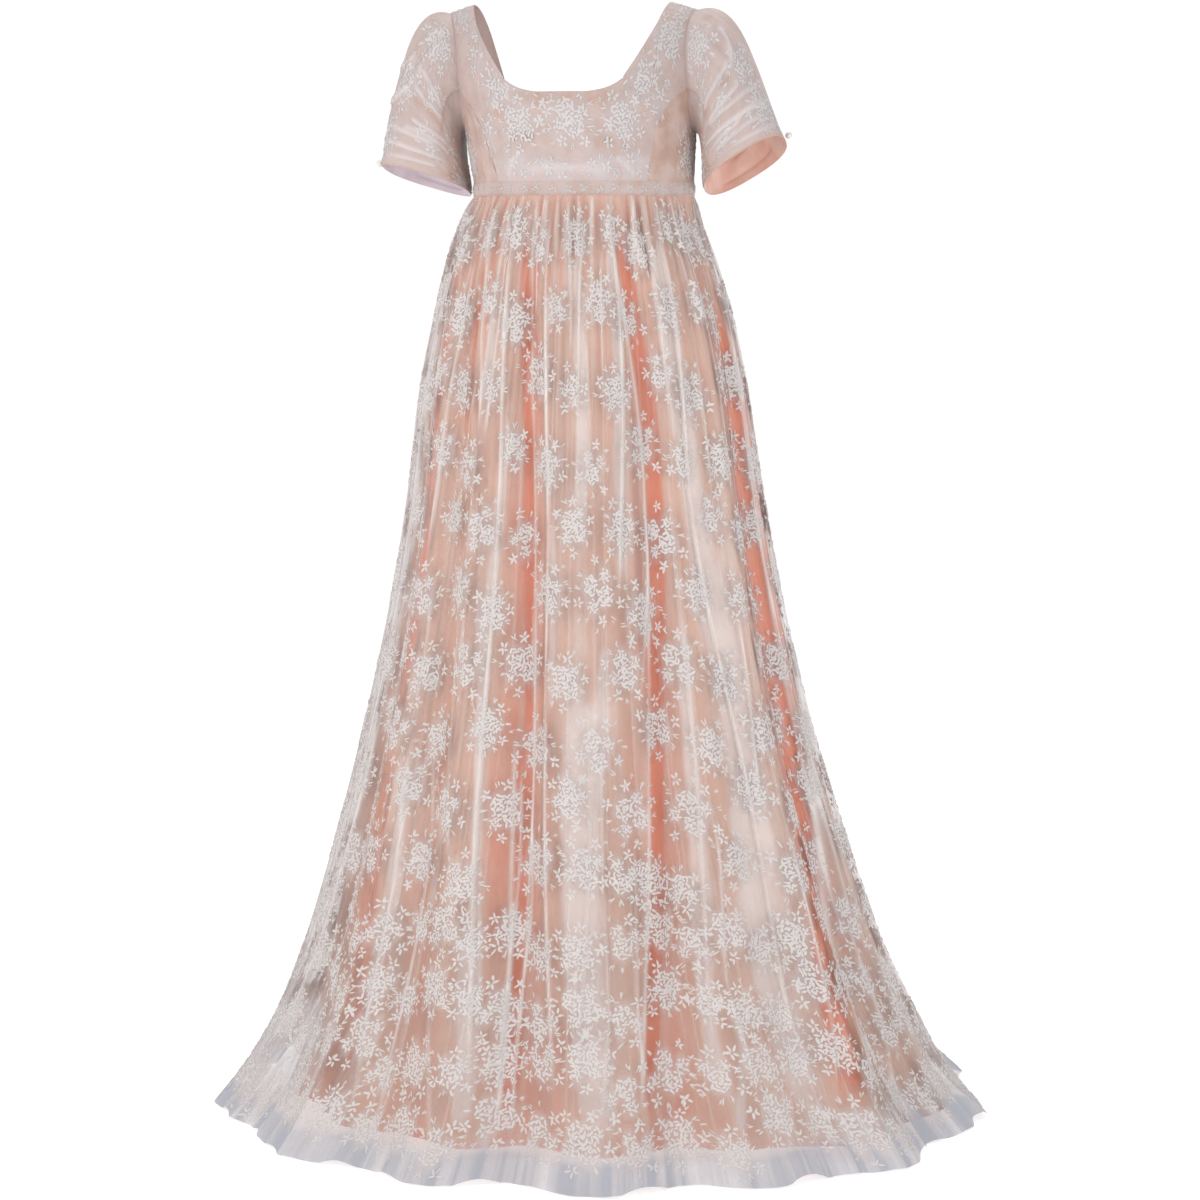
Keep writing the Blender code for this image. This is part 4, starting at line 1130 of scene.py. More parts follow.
def laced_satin():
    """Net laid over satin and sewn as one cloth, for the bodice, the band and the sleeves. Its depth mark is painted
    shade where high (deep salmon above 3) and painted highlight below 0; it also gives the band its uneven tone and the
    sleeves' hem edges more satin.
    """
    finish = Finish("laced_satin", Sheen_Weight=0.15, Sheen_Roughness=0.45)
    place = finish.place()
    threads = finish.net(place, 0.0015)
    patch = finish.noise(finish.scaled(place, 30.0, 34.0), 1.0, 3.0)
    cloud = finish.noise(finish.scaled(place, 75.0, 85.0), 1.0, 5.0, 0.7)
    satin = finish.mix((patch - 0.5).ranged(-0.2, 0.2), LACED_SATIN, LACED_SHADE)
    depth, spray = finish.mark("depth"), finish.mark("spray")
    cover = 0.5 + threads * 0.16 - depth * 0.34 + (cloud - 0.5) * 0.9 + (patch - 0.5) * 0.5 + spray * 0.35
    colour = finish.mix(cover.clamped(), satin, LACED_NET)
    # Painted highlight where depth is below 0, and deep salmon painted shade where it is above 3.
    colour = finish.mix((depth * -0.55).clamped(), colour, LACED_HIGHLIGHT)
    colour = finish.mix((depth - 3.0).clamped(), colour, LACED_DEEP)
    lumps = threads * 0.08 + cloud * 0.9 + patch * 0.6
    return finish.finished(
        Base_Color=colour,
        Roughness=0.34 + patch * 0.16 + threads * 0.05,
        Normal=finish.bump(lumps, 0.45, 0.004),
    )


def ivory_net():
    """The sheer net of the skirt, whiter where a crease doubles it, with a painted highlight, and round each spray;
    painted shade in its troughs and dark lines.
    """
    finish = Finish("ivory_net", Roughness=0.6, Sheen_Weight=0.25, Sheen_Roughness=0.35)
    place = finish.place()
    threads = finish.net(place, 0.0014)
    streak = finish.noise(finish.scaled(place, 60.0, 1.0), 1.0, 3.0)
    pleat = finish.noise(finish.scaled(place, 120.0, 0.8), 1.0, 2.0)
    patch = finish.noise(finish.scaled(place, 11.0, 7.0), 1.0, 3.0)
    white, shade = finish.mark("white") * (patch.ranged(0.25, 0.6) * 0.45 + 0.55), finish.mark("shade")
    spray = finish.mark("spray")
    low = finish.mark("low")
    # Fine vertical streaks, partly doubled net and partly painted highlight.
    light = streak.ranged(0.52, 0.74) * 0.5 + pleat.ranged(0.62, 0.68) * 0.6
    # Where the net hangs clear of the satin it turns to the darker grey of painted shade.
    pale = finish.mix(low, NET_WHITE, HEM_SHADE_GREY)
    colour = finish.mix((white + light * 0.6 + low * 0.8).clamped(), NET_GREY, pale)
    colour = finish.mix((spray * 0.8 - white * 0.6).clamped(), colour, NET_SPRAY)
    # Painted shade.
    colour = finish.mix((shade - white).clamped(), colour, NET_SHADE)
    cover = 0.23 + threads * 0.1 + white * 0.54 + light * 0.17 + spray * 0.26 + (patch - 0.5) * 0.24
    cover = cover + shade * 0.34 + low * ((streak - 0.5) * 1.1 + (patch - 0.5) * 0.5 + 0.52)
    # Thinner net over the satin's painted strips.
    cover = cover - finish.mark("bare") * 0.2
    return finish.finished(
        Base_Color=colour,
        Alpha=cover.clamped(0.05, 0.95),
        Normal=finish.bump(threads * 0.4 + streak * 0.6, 0.2, 0.001),
    )


def thread(name, colour):
    """Twisted embroidery thread, laid side by side along each stroke."""
    finish = Finish(name, Sheen_Weight=0.3, Sheen_Roughness=0.3)
    place = finish.place()
    twist = finish.waves(place, 260.0, "DIAGONAL", 0.4)
    tone = finish.noise(finish.scaled(place, 90.0, 90.0), 1.0, 2.0)
    return finish.finished(
        Base_Color=finish.mix((twist * 0.5 + tone * 0.5).clamped(), tuple(c * 0.86 for c in colour), colour),
        Roughness=0.42 + tone * 0.16,
        Normal=finish.bump(twist, 0.35, 0.0006),
    )


def lining(name, deep, pale):
    """The plain satin inside of the bodice and the sleeves."""
    finish = Finish(name, Sheen_Weight=0.15, Sheen_Roughness=0.4)
    place = finish.place()
    patch = finish.noise(finish.scaled(place, 24.0, 12.0), 1.0, 3.0)
    weave = finish.waves(place, 900.0, "X")
    return finish.finished(
        Base_Color=finish.mix(patch.ranged(0.3, 0.7), deep, pale),
        Roughness=0.34 + patch * 0.14,
        Normal=finish.bump(patch + weave * 0.04, 0.25, 0.003),
    )


def pearl_finish():
    finish = Finish("pearl", Coat_Weight=0.7, Coat_Roughness=0.08, Specular_IOR_Level=0.6)
    place = finish.node("TexCoord", None, None, 3)
    cloud = finish.noise(finish.scaled(place, 160.0, 160.0), 1.0, 3.0)
    return finish.finished(
        Base_Color=finish.mix(cloud.ranged(0.3, 0.7), (0.6, 0.57, 0.54), (0.84, 0.82, 0.78)),
        Roughness=0.2 + cloud * 0.15,
    )


def floor_finish():
    finish = Finish("pale_floor", Roughness=1.0, Specular_IOR_Level=0.0, Emission_Strength=0.53)
    finish.shader.inputs["Emission Color"].default_value = (1.0, 1.0, 1.0, 1.0)
    place = finish.node("TexCoord", None, None, 3)
    cloud = finish.noise(place, 0.8, 2.0)
    return finish.finished(Base_Color=finish.mix(cloud, (0.8, 0.8, 0.8), (0.82, 0.82, 0.82)))


# ---- the embroidery ----

# The groups of flowers on the flat cut, in millimetres: what each thing is, its middle, its size
# and its heading.
# kind, x, y, size, heading
POSY = (
    ("rose", -6, 7, 27, 10),
    ("rose", 8, -12, 25, 70),
    ("blossom", -15, -12, 18, 20),
    ("blossom", 14, 9, 18, 50),
    ("star", 8, 28, 18, 0),
    ("star", -24, 23, 18, 30),
    ("star", 32, -4, 17, 12),
    ("star", -9, -33, 16, 50),
    ("leaf", -29, 6, 12, 172),
    ("leaf", -28, -5, 11, 188),
    ("leaf", 28, 17, 12, 30),
    ("leaf", 26, -18, 12, -24),
    ("leaf", 17, -29, 12, -58),
    ("leaf", -25, -24, 11, 216),
    ("leaf", -6, 32, 12, 106),
    ("leaf", -38, 12, 10, 160),
    ("leaf", 37, 12, 10, 14),
    ("leaf", 20, 33, 10, 60),
)
NOSEGAY = (
    ("rose", 1, -5, 25, 40),
    ("blossom", -8, 12, 18, 10),
    ("blossom", 13, 9, 15, 60),
    ("star", 4, 27, 18, 15),
    ("star", -21, -9, 17, 50),
    ("star", 21, -19, 16, 80),
    ("leaf", 24, 2, 12, 8),
    ("leaf", 4, -26, 12, -70),
    ("leaf", -8, -26, 11, -110),
    ("leaf", -22, 7, 11, 168),
    ("leaf", -19, 24, 11, 132),
    ("leaf", 20, 22, 11, 40),
    ("leaf", -31, 3, 10, 176),
)
SPRIG = (
    ("star", 0, 9, 18, 0),
    ("star", -9, -10, 15, 40),
    ("blossom", 9, 22, 12, 60),
    ("leaf", -13, 5, 12, 170),
    ("leaf", -9, 20, 11, 140),
    ("leaf", 13, 2, 12, 12),
    ("leaf", 6, -18, 12, -65),
    ("leaf", -3, -25, 11, -100),
)
# A flower's strokes ring by ring: how many, how far out, their length and width as shares of its
# size, and how far their heading leans from round it (0) to outwards (90), swinging to and fro.
# count, radius, length, width, lean, swing
ROSE = (
    (1, 0.02, 0.2, 0.12, 20, 0),
    (4, 0.15, 0.24, 0.12, 0, 18),
    (8, 0.29, 0.28, 0.125, 4, 26),
    (11, 0.45, 0.32, 0.125, 14, 34),
)
BLOSSOM = (
    (2, 0.07, 0.24, 0.15, 0, 0),
    (6, 0.25, 0.36, 0.16, 8, 28),
    (7, 0.45, 0.34, 0.15, 60, 24),
)
STAR = ((5, 0.28, 0.46, 0.18, 90, 0),)


def rings_of(table, size):
    strokes = []
    for count, radius, length, width, lean, swing in table:
        for i in range(count):
            turn = 360.0 * (i + 0.37 * radius * 10) / count
            x, y = swung(radius * size, 0.0, math.radians(turn))
            heading = turn + 90.0 - lean + swing * (1 - 2 * (i % 2))
            strokes.append((x, y, heading, length * size, width * size))
    return strokes


def strokes_of(kind, size):
    """The stitched strokes of a flower or leaf round its own middle, in millimetres."""
    if kind == "leaf":
        return [
            (0.0, 0.09 * size, 10.0, 0.86 * size, 0.17 * size),
            (0.12 * size, -0.11 * size, -14.0, 0.66 * size, 0.16 * size),
        ]
    return rings_of({"rose": ROSE, "blossom": BLOSSOM, "star": STAR}[kind], size)


def group_strokes(group):
    """The strokes of a group as an array, in metres and radians, with their flower's middle last."""
    rows = []
    for kind, x, y, size, heading in group:
        for across, up, angle, length, width in strokes_of(kind, size):
            rows.append((*swung(across, up, math.radians(heading)), angle + heading, length, width, x, y))
    strokes = np.array(rows)
    strokes[:, [0, 1, 3, 4, 5, 6]] /= 1000.0
    strokes[:, 2] = np.radians(strokes[:, 2])
    return strokes


def shaken(strokes, rng):
    """The strokes with a little of the hand in their places, lengths and headings."""
    count = len(strokes)
    strokes = strokes.copy()
    strokes[:, :2] += rng.normal(0.0, 0.0007, (count, 2))
    strokes[:, 2] += rng.normal(0.0, 0.22, count)
    strokes[:, 3] *= 1.0 + 0.14 * rng.normal(size=count).clip(-2, 2)
    strokes[:, 4] *= 1.0 + 0.1 * rng.normal(size=count).clip(-2, 2)
    return strokes


def spun_strokes(strokes, spin, size):
    """The strokes turned round the middle of their group, with their places spread by size."""
    strokes = strokes.copy()
    for x, y, spread in ((0, 1, 1.0), (5, 6, size)):
        strokes[:, x], strokes[:, y] = swung(strokes[:, x] * spread, strokes[:, y] * spread, spin)
    strokes[:, 2] += spin
    return strokes


# A stroke's outline along and across it, in shares of its length and width, and its rise.
STROKE_POINTS = np.array([
    (-0.5, 0.0, 0.2), (-0.18, -0.5, 0.3), (0.24, -0.42, 0.3), (0.5, 0.0, 0.2),
    (0.24, 0.42, 0.3), (-0.18, 0.5, 0.3), (0.0, 0.0, 1.0),
])
STROKE_FACES = np.array([(0, 1, 6), (1, 2, 6), (2, 3, 6), (3, 4, 6), (4, 5, 6), (5, 0, 6)])
STROKE_RISE = 0.0012


def stroke_corners(strokes):
    """Each stroke's corners as (stroke, corner, 2) offsets on the cut from its own middle."""
    along = STROKE_POINTS[None, :, 0] * strokes[:, None, 3]
    across = STROKE_POINTS[None, :, 1] * strokes[:, None, 4]
    return stacked(*swung(along, across, strokes[:, None, 2]))


def group_corners(strokes, wide=1.0):
    """(x, y) of a group's strokes' corners from its middle, narrowed to a share of its width."""
    corners = stroke_corners(strokes)
    x = ((strokes[:, 0] + strokes[:, 5]) * wide)[:, None] + corners[..., 0] * math.sqrt(wide)
    return x, (strokes[:, 1] + strokes[:, 6])[:, None] + corners[..., 1]


def seated(piece, slot, *nodes):
    if nodes:
        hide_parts(*nodes)
    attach(piece, "root")
    return piece


SMALL_STEP = 0.0005


def add_embroidery(name, slot, surface, u, v, away_from, finish, step=(SMALL_STEP, SMALL_STEP)):
    """Raised strokes on a surface: u and v are each stroke's corners on the cut, step a small
    distance there, and away_from a point or line that the cloth's outer side faces away from."""
    points = surface(u, v)
    middle_u, middle_v = u.mean(axis=1), v.mean(axis=1)
    across = surface(middle_u + step[0], middle_v) - surface(middle_u - step[0], middle_v)
    down = surface(middle_u, middle_v + step[1]) - surface(middle_u, middle_v - step[1])
    normals = unit(np.cross(across, down))
    outward = np.sum(normals * (points.mean(axis=1) - away_from), axis=1, keepdims=True)
    normals = np.where(outward < 0, -normals, normals)[:, None]
    points = points + normals * (STROKE_RISE * STROKE_POINTS[None, :, 2:3])
    count = len(points)
    faces = (np.arange(count)[:, None, None] * len(STROKE_POINTS) + STROKE_FACES[None]).reshape(-1, 3)
    turned = np.cross(points[:, 1] - points[:, 0], points[:, 5] - points[:, 0])
    flipped = np.repeat(np.sum(turned * normals[:, 0], axis=1) < 0, len(STROKE_FACES))
    faces[flipped] = faces[flipped][:, ::-1]
    cut = stacked(u, v).reshape(-1, 2)
    return seated(add_mesh(name, points.reshape(-1, 3), faces, [finish], cut), slot)


SPRAY_COUNT = 24
SPRAY_ROWS = 14
FIRST_ROW, ROW_STEP, ROW_SHRINK = -0.2975, 0.0945, 0.00083
SPRAY_PHASE = 4.0
PAIRED_FROM = 0.66
ALTERNATE_BELOW = 0.47
POSY_SIDE, NOSEGAY_SIDE = 0.03, -0.034
HUNG = 0.97
FILLED = ("rose", "blossom")
FILL_REACH = 0.52
THREAD_SEED = 7


def narrowed(squeeze):
    """How much narrower a group looks where the gathers draw the net together."""
    return min(1.0, 0.2 + 0.95 * squeeze)


def skirt_groups():
    """The groups of flowers: where, the metres to a degree, the squeeze, which, its turn and size."""
    for row in range(SPRAY_ROWS):
        height = FIRST_ROW - ROW_STEP * row + ROW_SHRINK * row * row
        for k in range(SPRAY_COUNT):
            turn = between(360.0 * (k + 0.5 * (row % 2)) / SPRAY_COUNT + SPRAY_PHASE)
            metre = float(metres_per_degree(np.array(turn), np.array(height)))
            squeeze = metre * 360.0 / NET_WIDTH
            pair = squeeze > PAIRED_FROM
            for group, side in ((POSY, POSY_SIDE), (NOSEGAY, NOSEGAY_SIDE)):
                alternate = squeeze < ALTERNATE_BELOW and (k + row // 2) % 2 == 1
                if not pair and (group is POSY) == alternate:
                    continue
                wander = 0.012 * math.sin(2.4 * k + 1.7 * row)
                shift = (side * squeeze if pair else 0.0) * (1 - 2 * (row % 2)) + 0.4 * wander
                spin = 26.0 * math.sin(3.1 * k + 5.3 * row) + (180.0 if (k + 2 * row) % 3 == 1 else 0.0)
                size = 1.02 + 0.12 * math.sin(4.7 * k + 2.9 * row) + (0.0 if pair else 0.1)
                drop = 1.2 * wander + ((0.007 if group is POSY else -0.007) if pair else 0.0)
                yield turn + shift / metre, height + drop, metre, squeeze, group, spin, size


def skirt_strokes():
    """(turn, height) of the corners of every stroke on the skirt."""
    rng = np.random.default_rng(THREAD_SEED)
    bases = {True: group_strokes(POSY), False: group_strokes(NOSEGAY)}
    corners = []
    for turn, height, metre, squeeze, group, spin, size in skirt_groups():
        strokes = spun_strokes(shaken(bases[group is POSY], rng), math.radians(spin), size)
        x, y = group_corners(strokes, narrowed(squeeze))
        corners.append((turn + x / metre, height + HUNG * y))
    return joined(corners)


def spray_mark(turn, height):
    """1 under the flowers on the skirt, fading out at their edges."""
    mark = 0.0 * turn * height
    levels = height[:, 0]
    for middle, level, metre, squeeze, group, spin, grown in skirt_groups():
        for kind, x, y, size, _ in group:
            if kind not in FILLED:
                continue
            x, y = swung(grown * x / 1000, grown * y / 1000, math.radians(spin))
            place = middle + x * narrowed(squeeze) / metre
            tall = level + HUNG * y
            reach = FILL_REACH * size / 1000
            rows = np.flatnonzero(np.abs(levels - tall) < reach + 0.006)
            if not len(rows):
                continue
            off = between(turn[rows] - place) * metre / reach
            far = off**2 + ((height[rows] - tall) / (reach + 0.003)) ** 2
            mark[rows] = np.maximum(mark[rows], eased(1.7 - far))
    return mark


# Sprays on the bodice's cut: which, its middle, and its turn in degrees.
# spray, u, v, turned
BACK_SPRAYS = (
    ("posy", 0.29, -0.16, 0),
    ("posy", 0.37, -0.185, 160),
    ("posy", 0.45, -0.162, 0),
    ("sprig", 0.33, -0.208, 0),
    ("sprig", 0.41, -0.145, 70),
)
BODICE_SPRAYS = (
    ("posy", -0.066, -0.156, 8),
    ("posy", 0.01, -0.153, 170),
    ("posy", 0.083, -0.153, -20),
    ("nosegay", -0.09, -0.112, 40),
    ("sprig", -0.129, -0.08, 10),
    ("sprig", -0.136, -0.04, 80),
    ("posy", -0.158, -0.006, 0),
    ("nosegay", 0.111, -0.105, -30),
    ("posy", 0.148, -0.055, -10),
    ("posy", 0.17, 0.005, 100),
    ("sprig", -0.076, -0.208, 70),
    ("sprig", -0.02, -0.214, 90),
    ("sprig", 0.048, -0.213, -80),
    ("sprig", 0.102, -0.206, 60),
    ("sprig", -0.124, -0.17, 0),
    ("sprig", 0.142, -0.13, 0),
    ("sprig", -0.025, -0.142, 0),
    ("posy", -0.21, -0.196, 20),
    ("posy", 0.22, -0.196, -20),
    *((kind, side * u, v, side * turned) for side in (1, -1) for kind, u, v, turned in BACK_SPRAYS),
    ("nosegay", 0.36, -0.06, 20),
    ("nosegay", -0.36, -0.06, -20),
    ("posy", 0.342, 0.005, 0),
    ("posy", -0.342, 0.005, 0),
)
SLEEVE_BACK_SPRAYS = (
    ("posy", 0.35, 0.05, 0),
    ("posy", 0.3, 0.11, 10),
    ("posy", 0.35, 0.16, -10),
    ("posy", 0.23, 0.15, 0),
    ("sprig", 0.25, 0.08, 0),
    ("posy", 0.18, 0.175, 0),
)
SLEEVE_SPRAYS = {
    "left": (
        ("posy", 0.06, 0.03, 20),
        ("nosegay", 0.052, 0.098, 0),
        ("sprig", 0.11, 0.14, -10),
        ("posy", 0.03, 0.165, 10),
        ("sprig", 0.105, 0.07, 40),
        ("sprig", 0.15, 0.11, 0),
        *SLEEVE_BACK_SPRAYS,
    ),
    "right": (
        ("posy", 0.07, 0.024, -10),
        ("sprig", 0.095, 0.095, 0),
        ("nosegay", 0.042, 0.105, 10),
        ("sprig", 0.11, 0.155, 0),
        ("posy", 0.04, 0.165, -10),
        ("sprig", 0.12, 0.055, -30),
        ("sprig", 0.155, 0.12, 0),
        *SLEEVE_BACK_SPRAYS,
    ),
}
GROUPS = {"posy": POSY, "nosegay": NOSEGAY, "sprig": SPRIG}
PLACED_REACH = {"posy": 0.028, "nosegay": 0.024, "sprig": 0.015}
PLACED_WIDER = 1.12


def placed_mark(table, u, v):
    """1 under the middles of the groups in a table, fading out round them."""
    mark = 0.0 * u
    for kind, middle_u, middle_v, _ in table:
        reach = PLACED_REACH[kind]
        mark = np.maximum(mark, np.exp(-(((u - middle_u) ** 2 + (v - middle_v) ** 2) / reach**2) ** 1.5))
    return mark


def placed_strokes(table):
    """(u, v) of the corners of every stroke of the groups in a table."""
    rng = np.random.default_rng(THREAD_SEED)
    corners = []
    for kind, u, v, turned in table:
        strokes = shaken(group_strokes(GROUPS[kind]), rng)
        strokes[:, 4] *= PLACED_WIDER
        x, y = swung(*group_corners(strokes), math.radians(turned))
        corners.append((u + x, v + y))
    return joined(corners)


EDGE_CLEAR, STRAP_WIDE, STRAP_END = 0.0025, 0.07, 0.97


def on_bodice(u, v):
    """Whether places of the bodice's cut lie on it, clear of its neck, armholes and lower edge."""
    turn = bodice_turn(u)
    quarter = np.where(np.abs(turn) > 90.0, 180.0 - np.abs(turn), np.abs(turn))
    half = BODY.at("half_width", v)
    x = half * np.sin(np.radians(quarter))
    under = np.interp(quarter, UNDERARM_EDGE["turn"], UNDERARM_EDGE["height"])
    below = (v > BAND_TOP + EDGE_CLEAR) & ((quarter < UNDERARM_EDGE["turn"][0]) | (v < under - EDGE_CLEAR))
    inside = np.zeros(turn.shape, bool)
    for name, back in (("front", False), ("back", True)):
        climb, across = strap_place_of(u, v, back)
        clear = EDGE_CLEAR / STRAP_WIDE
        strap = (climb > 0.0) & (climb < STRAP_END) & (across > clear) & (across < 1.0 - clear)
        rim = np.interp(x, NECK[name + "_x"], NECK[name + "_height"])
        here = (np.abs(turn) > 90.0) == back
        inside |= here & (strap | ((climb <= 0.0) & (v < rim - EDGE_CLEAR) & below))
    return inside


# ---- making the pieces ----

OUTSIDE = laced_satin()
SATIN = peach_satin()
NET = ivory_net()
EMBROIDERY = thread("embroidery_thread", THREAD)
SOFT_EMBROIDERY = thread("soft_embroidery_thread", SOFT_THREAD)
PINK_LINING = lining("salmon_lining", (0.72, 0.42, 0.34), (0.82, 0.61, 0.53))
BODICE_LINING = lining("peach_lining", (0.58, 0.42, 0.38), (0.66, 0.53, 0.5))
# Painted highlight: the same satin lining as the right sleeve's, painted pale lavender as the left sleeve's lit inside.
LIT_LINING = lining("lavender_lit_lining", (0.76, 0.66, 0.71), (0.88, 0.8, 0.85))
EDGING = thread("salmon_edging", (0.66, 0.46, 0.4))
PEARL = pearl_finish()

NET_COLUMNS, NET_ROWS = 480, 118
SATIN_COLUMNS, SATIN_ROWS = 360, 100


def rows_down(top, bottom, count):
    """Heights from top to bottom, closer together near the top and the hem."""
    share = steps(count)
    return top + (bottom - top) * (share - 0.1 * np.sin(2 * math.pi * share) / (2 * math.pi))


TUCKED_IN = 0.0006


def add_skirt_half(name, surface, bottom, columns, rows, back, finish, slot, marks_at):
    """A layer of the skirt's front or back half, from its tucked-in top down to its hem."""
    start = 90.0 if back else -90.0
    heights = rows_down(BAND_BOTTOM + TUCKED_IN, bottom, rows)
    turn, height = np.meshgrid(start + 180.0 * steps(columns), heights)
    points = surface(turn, height)
    cut = stacked(turn / 360.0 * NET_WIDTH, height).reshape(-1, 2)
    faces = grid_faces(rows + 1, columns + 1)[:, ::-1]
    marks = {label: values.ravel() for label, values in marks_at(turn, height).items()}
    piece = add_mesh(name, points.reshape(-1, 3), faces, [finish], cut, None, marks)
    return seated(piece, slot, name)


def net_marks(turn, height):
    """Where the net looks whiter, doubled with a painted highlight, or gets painted shade, is thinner over the satin's
    painted strips, has sprays, or hangs clear of the satin and is painted a darker grey for shade.
    """
    _, white, crease_shade = crease_marks(turn, height)
    gather = gather_lift(turn, height) / GATHER_PEAK
    near = eased((height + 0.325) / 0.055)
    crisp, dark = strip_edges(turn, height)
    # Painted highlight on the gathers' ridges near the band, and painted shade in their valleys, with the creases'
    # painted shade.
    white = np.clip(white + crisp + 0.5 * near * eased(1.8 * gather - 0.5), 0.0, 1.0)
    shade = np.clip(0.3 * near * eased(-1.8 * gather - 0.3) + dark + crease_shade, 0.0, 1.0)
    strip = painted_strip_light(turn, height)
    # The net is thinned over the satin's strips so that their painted shade and highlight show through.
    bare = np.clip(strip, 0.0, 1.0) + 0.6 * np.clip(-strip, 0.0, 1.0)
    # The net hanging clear of the satin, at the hem and at the sides seen from the front: denser, and painted a darker
    # grey for shade.
    edge = eased((0.5 - np.abs(np.cos(np.radians(turn)))) / 0.3)
    aside = edge * (0.42 * eased((-0.28 - height) / 0.25) + 0.2 * eased((-1.0 - height) / 0.25))
    right = span(turn, 20, 30, 125, 25)
    aside = aside * (1 - 0.85 * right)
    start = -1.25 - 0.09 * right
    corner = eased((0.85 - np.abs(np.cos(np.radians(turn)))) / 0.3) * eased((start - height) / 0.06)
    low = np.maximum(np.maximum(eased((-1.382 - height) / 0.028), 0.7 * corner), aside)
    return {
        "white": white, "shade": shade, "bare": bare, "spray": spray_mark(turn, height), "low": low + 0.0 * turn
    }


def satin_marks(turn, height):
    """The tone of the satin: painted shade and painted highlight from its strips, the folds and the gathers, deeper in
    their valleys and paler on their ridges, and a salmon line at its hem.
    """
    lift = fold_lift(turn, height, True) / np.maximum(SKIRT.at("fold_share", height), 0.2)
    gather = gather_lift(turn, height) / GATHER_PEAK
    hem = 0.9 * eased((SATIN_HEM + 0.006 - height) / 0.003)
    return {"tone": np.clip(0.06 + painted_strip_light(turn, height, True) - lift / 0.07 - 0.6 * gather + hem, -1.6, 1.4)}


def make_skirt():
    for half, back in (("front", False), ("back", True)):
        net = add_skirt_half(
            "skirt_net_" + half, net_surface, FLOOR + 0.001, NET_COLUMNS, NET_ROWS, back, NET, "ivory_net", net_marks
        )
        satin = add_skirt_half(
            "skirt_satin_" + half, satin_surface, SATIN_HEM, SATIN_COLUMNS, SATIN_ROWS, back, SATIN,
            "peach_satin", satin_marks,
        )


# A small step on the skirt, in degrees and metres, and how far its threads keep from its edges.
SKIRT_STEP = (0.05, 0.0004)
CLEAR_OF_BAND, CLEAR_OF_FLOOR = 0.003, 0.004


def make_skirt_embroidery():
    turn, height = skirt_strokes()
    middle = between(turn.mean(axis=1))
    inside = (height.max(axis=1) < BAND_BOTTOM - CLEAR_OF_BAND) & (height.min(axis=1) > FLOOR + CLEAR_OF_FLOOR)
    for half, facing in (("front", np.abs(middle) <= 90.0), ("back", np.abs(middle) > 90.0)):
        keep = inside & facing
        axis = stacked(SIDE_LEAN, 0.0, height[keep].mean(axis=1))
        add_embroidery(
            "skirt_sprays_" + half, "ivory_net", net_surface, turn[keep], height[keep], axis, EMBROIDERY, SKIRT_STEP
        )


SEAM_DIP = 0.0003
# Below this height the bodice gets a painted highlight, just above the waistband.
HIGHLIGHT_BELOW = -0.185
# Spacing of the painted stripes on the side fronts.
STRIPE_EVERY = 0.0095
# How far a crease rises, on the bodice and on the sleeves, for one step of painted highlight, or sinks for one step of
# painted shade.
BODICE_CREASE, SLEEVE_CREASE = 0.0016, 0.0018


def bodice_lifted(u, v):
    """The bodice's surface with its creases, for what is sewn on it."""
    points = bodice_surface(u, v)
    away = unit(points * [1, 1, 0] - [SIDE_LEAN / 2, 0.0, 0.0])
    front = np.abs(u) < BODICE_AROUND * math.pi / 2
    lift = np.where(front, soft_lift(u, v, FRONT_CREASES), soft_lift(np.abs(u), v, BACK_CREASES))
    return points + away * np.maximum(lift, 0.0)[..., None]


def dipped(points, faces, normals):
    """The points, with those on the panel's open edges drawn in so that the seams read."""
    edge = np.unique(open_edges(faces))
    edge = edge[points[edge, 2] > BAND_TOP + 0.002]
    moved = points.copy()
    moved[edge] -= normals[edge] * SEAM_DIP
    return moved


# Spots of painted shade between the bodice's sprays, where more satin shows: its place on the cut and its reach.
BODICE_SHADE_SPOTS = (
    (-0.029, -0.133, 0.012),
    (0.047, -0.131, 0.013),
    (-0.099, -0.145, 0.01),
    (0.116, -0.138, 0.011),
    (0.008, -0.124, 0.009),
)


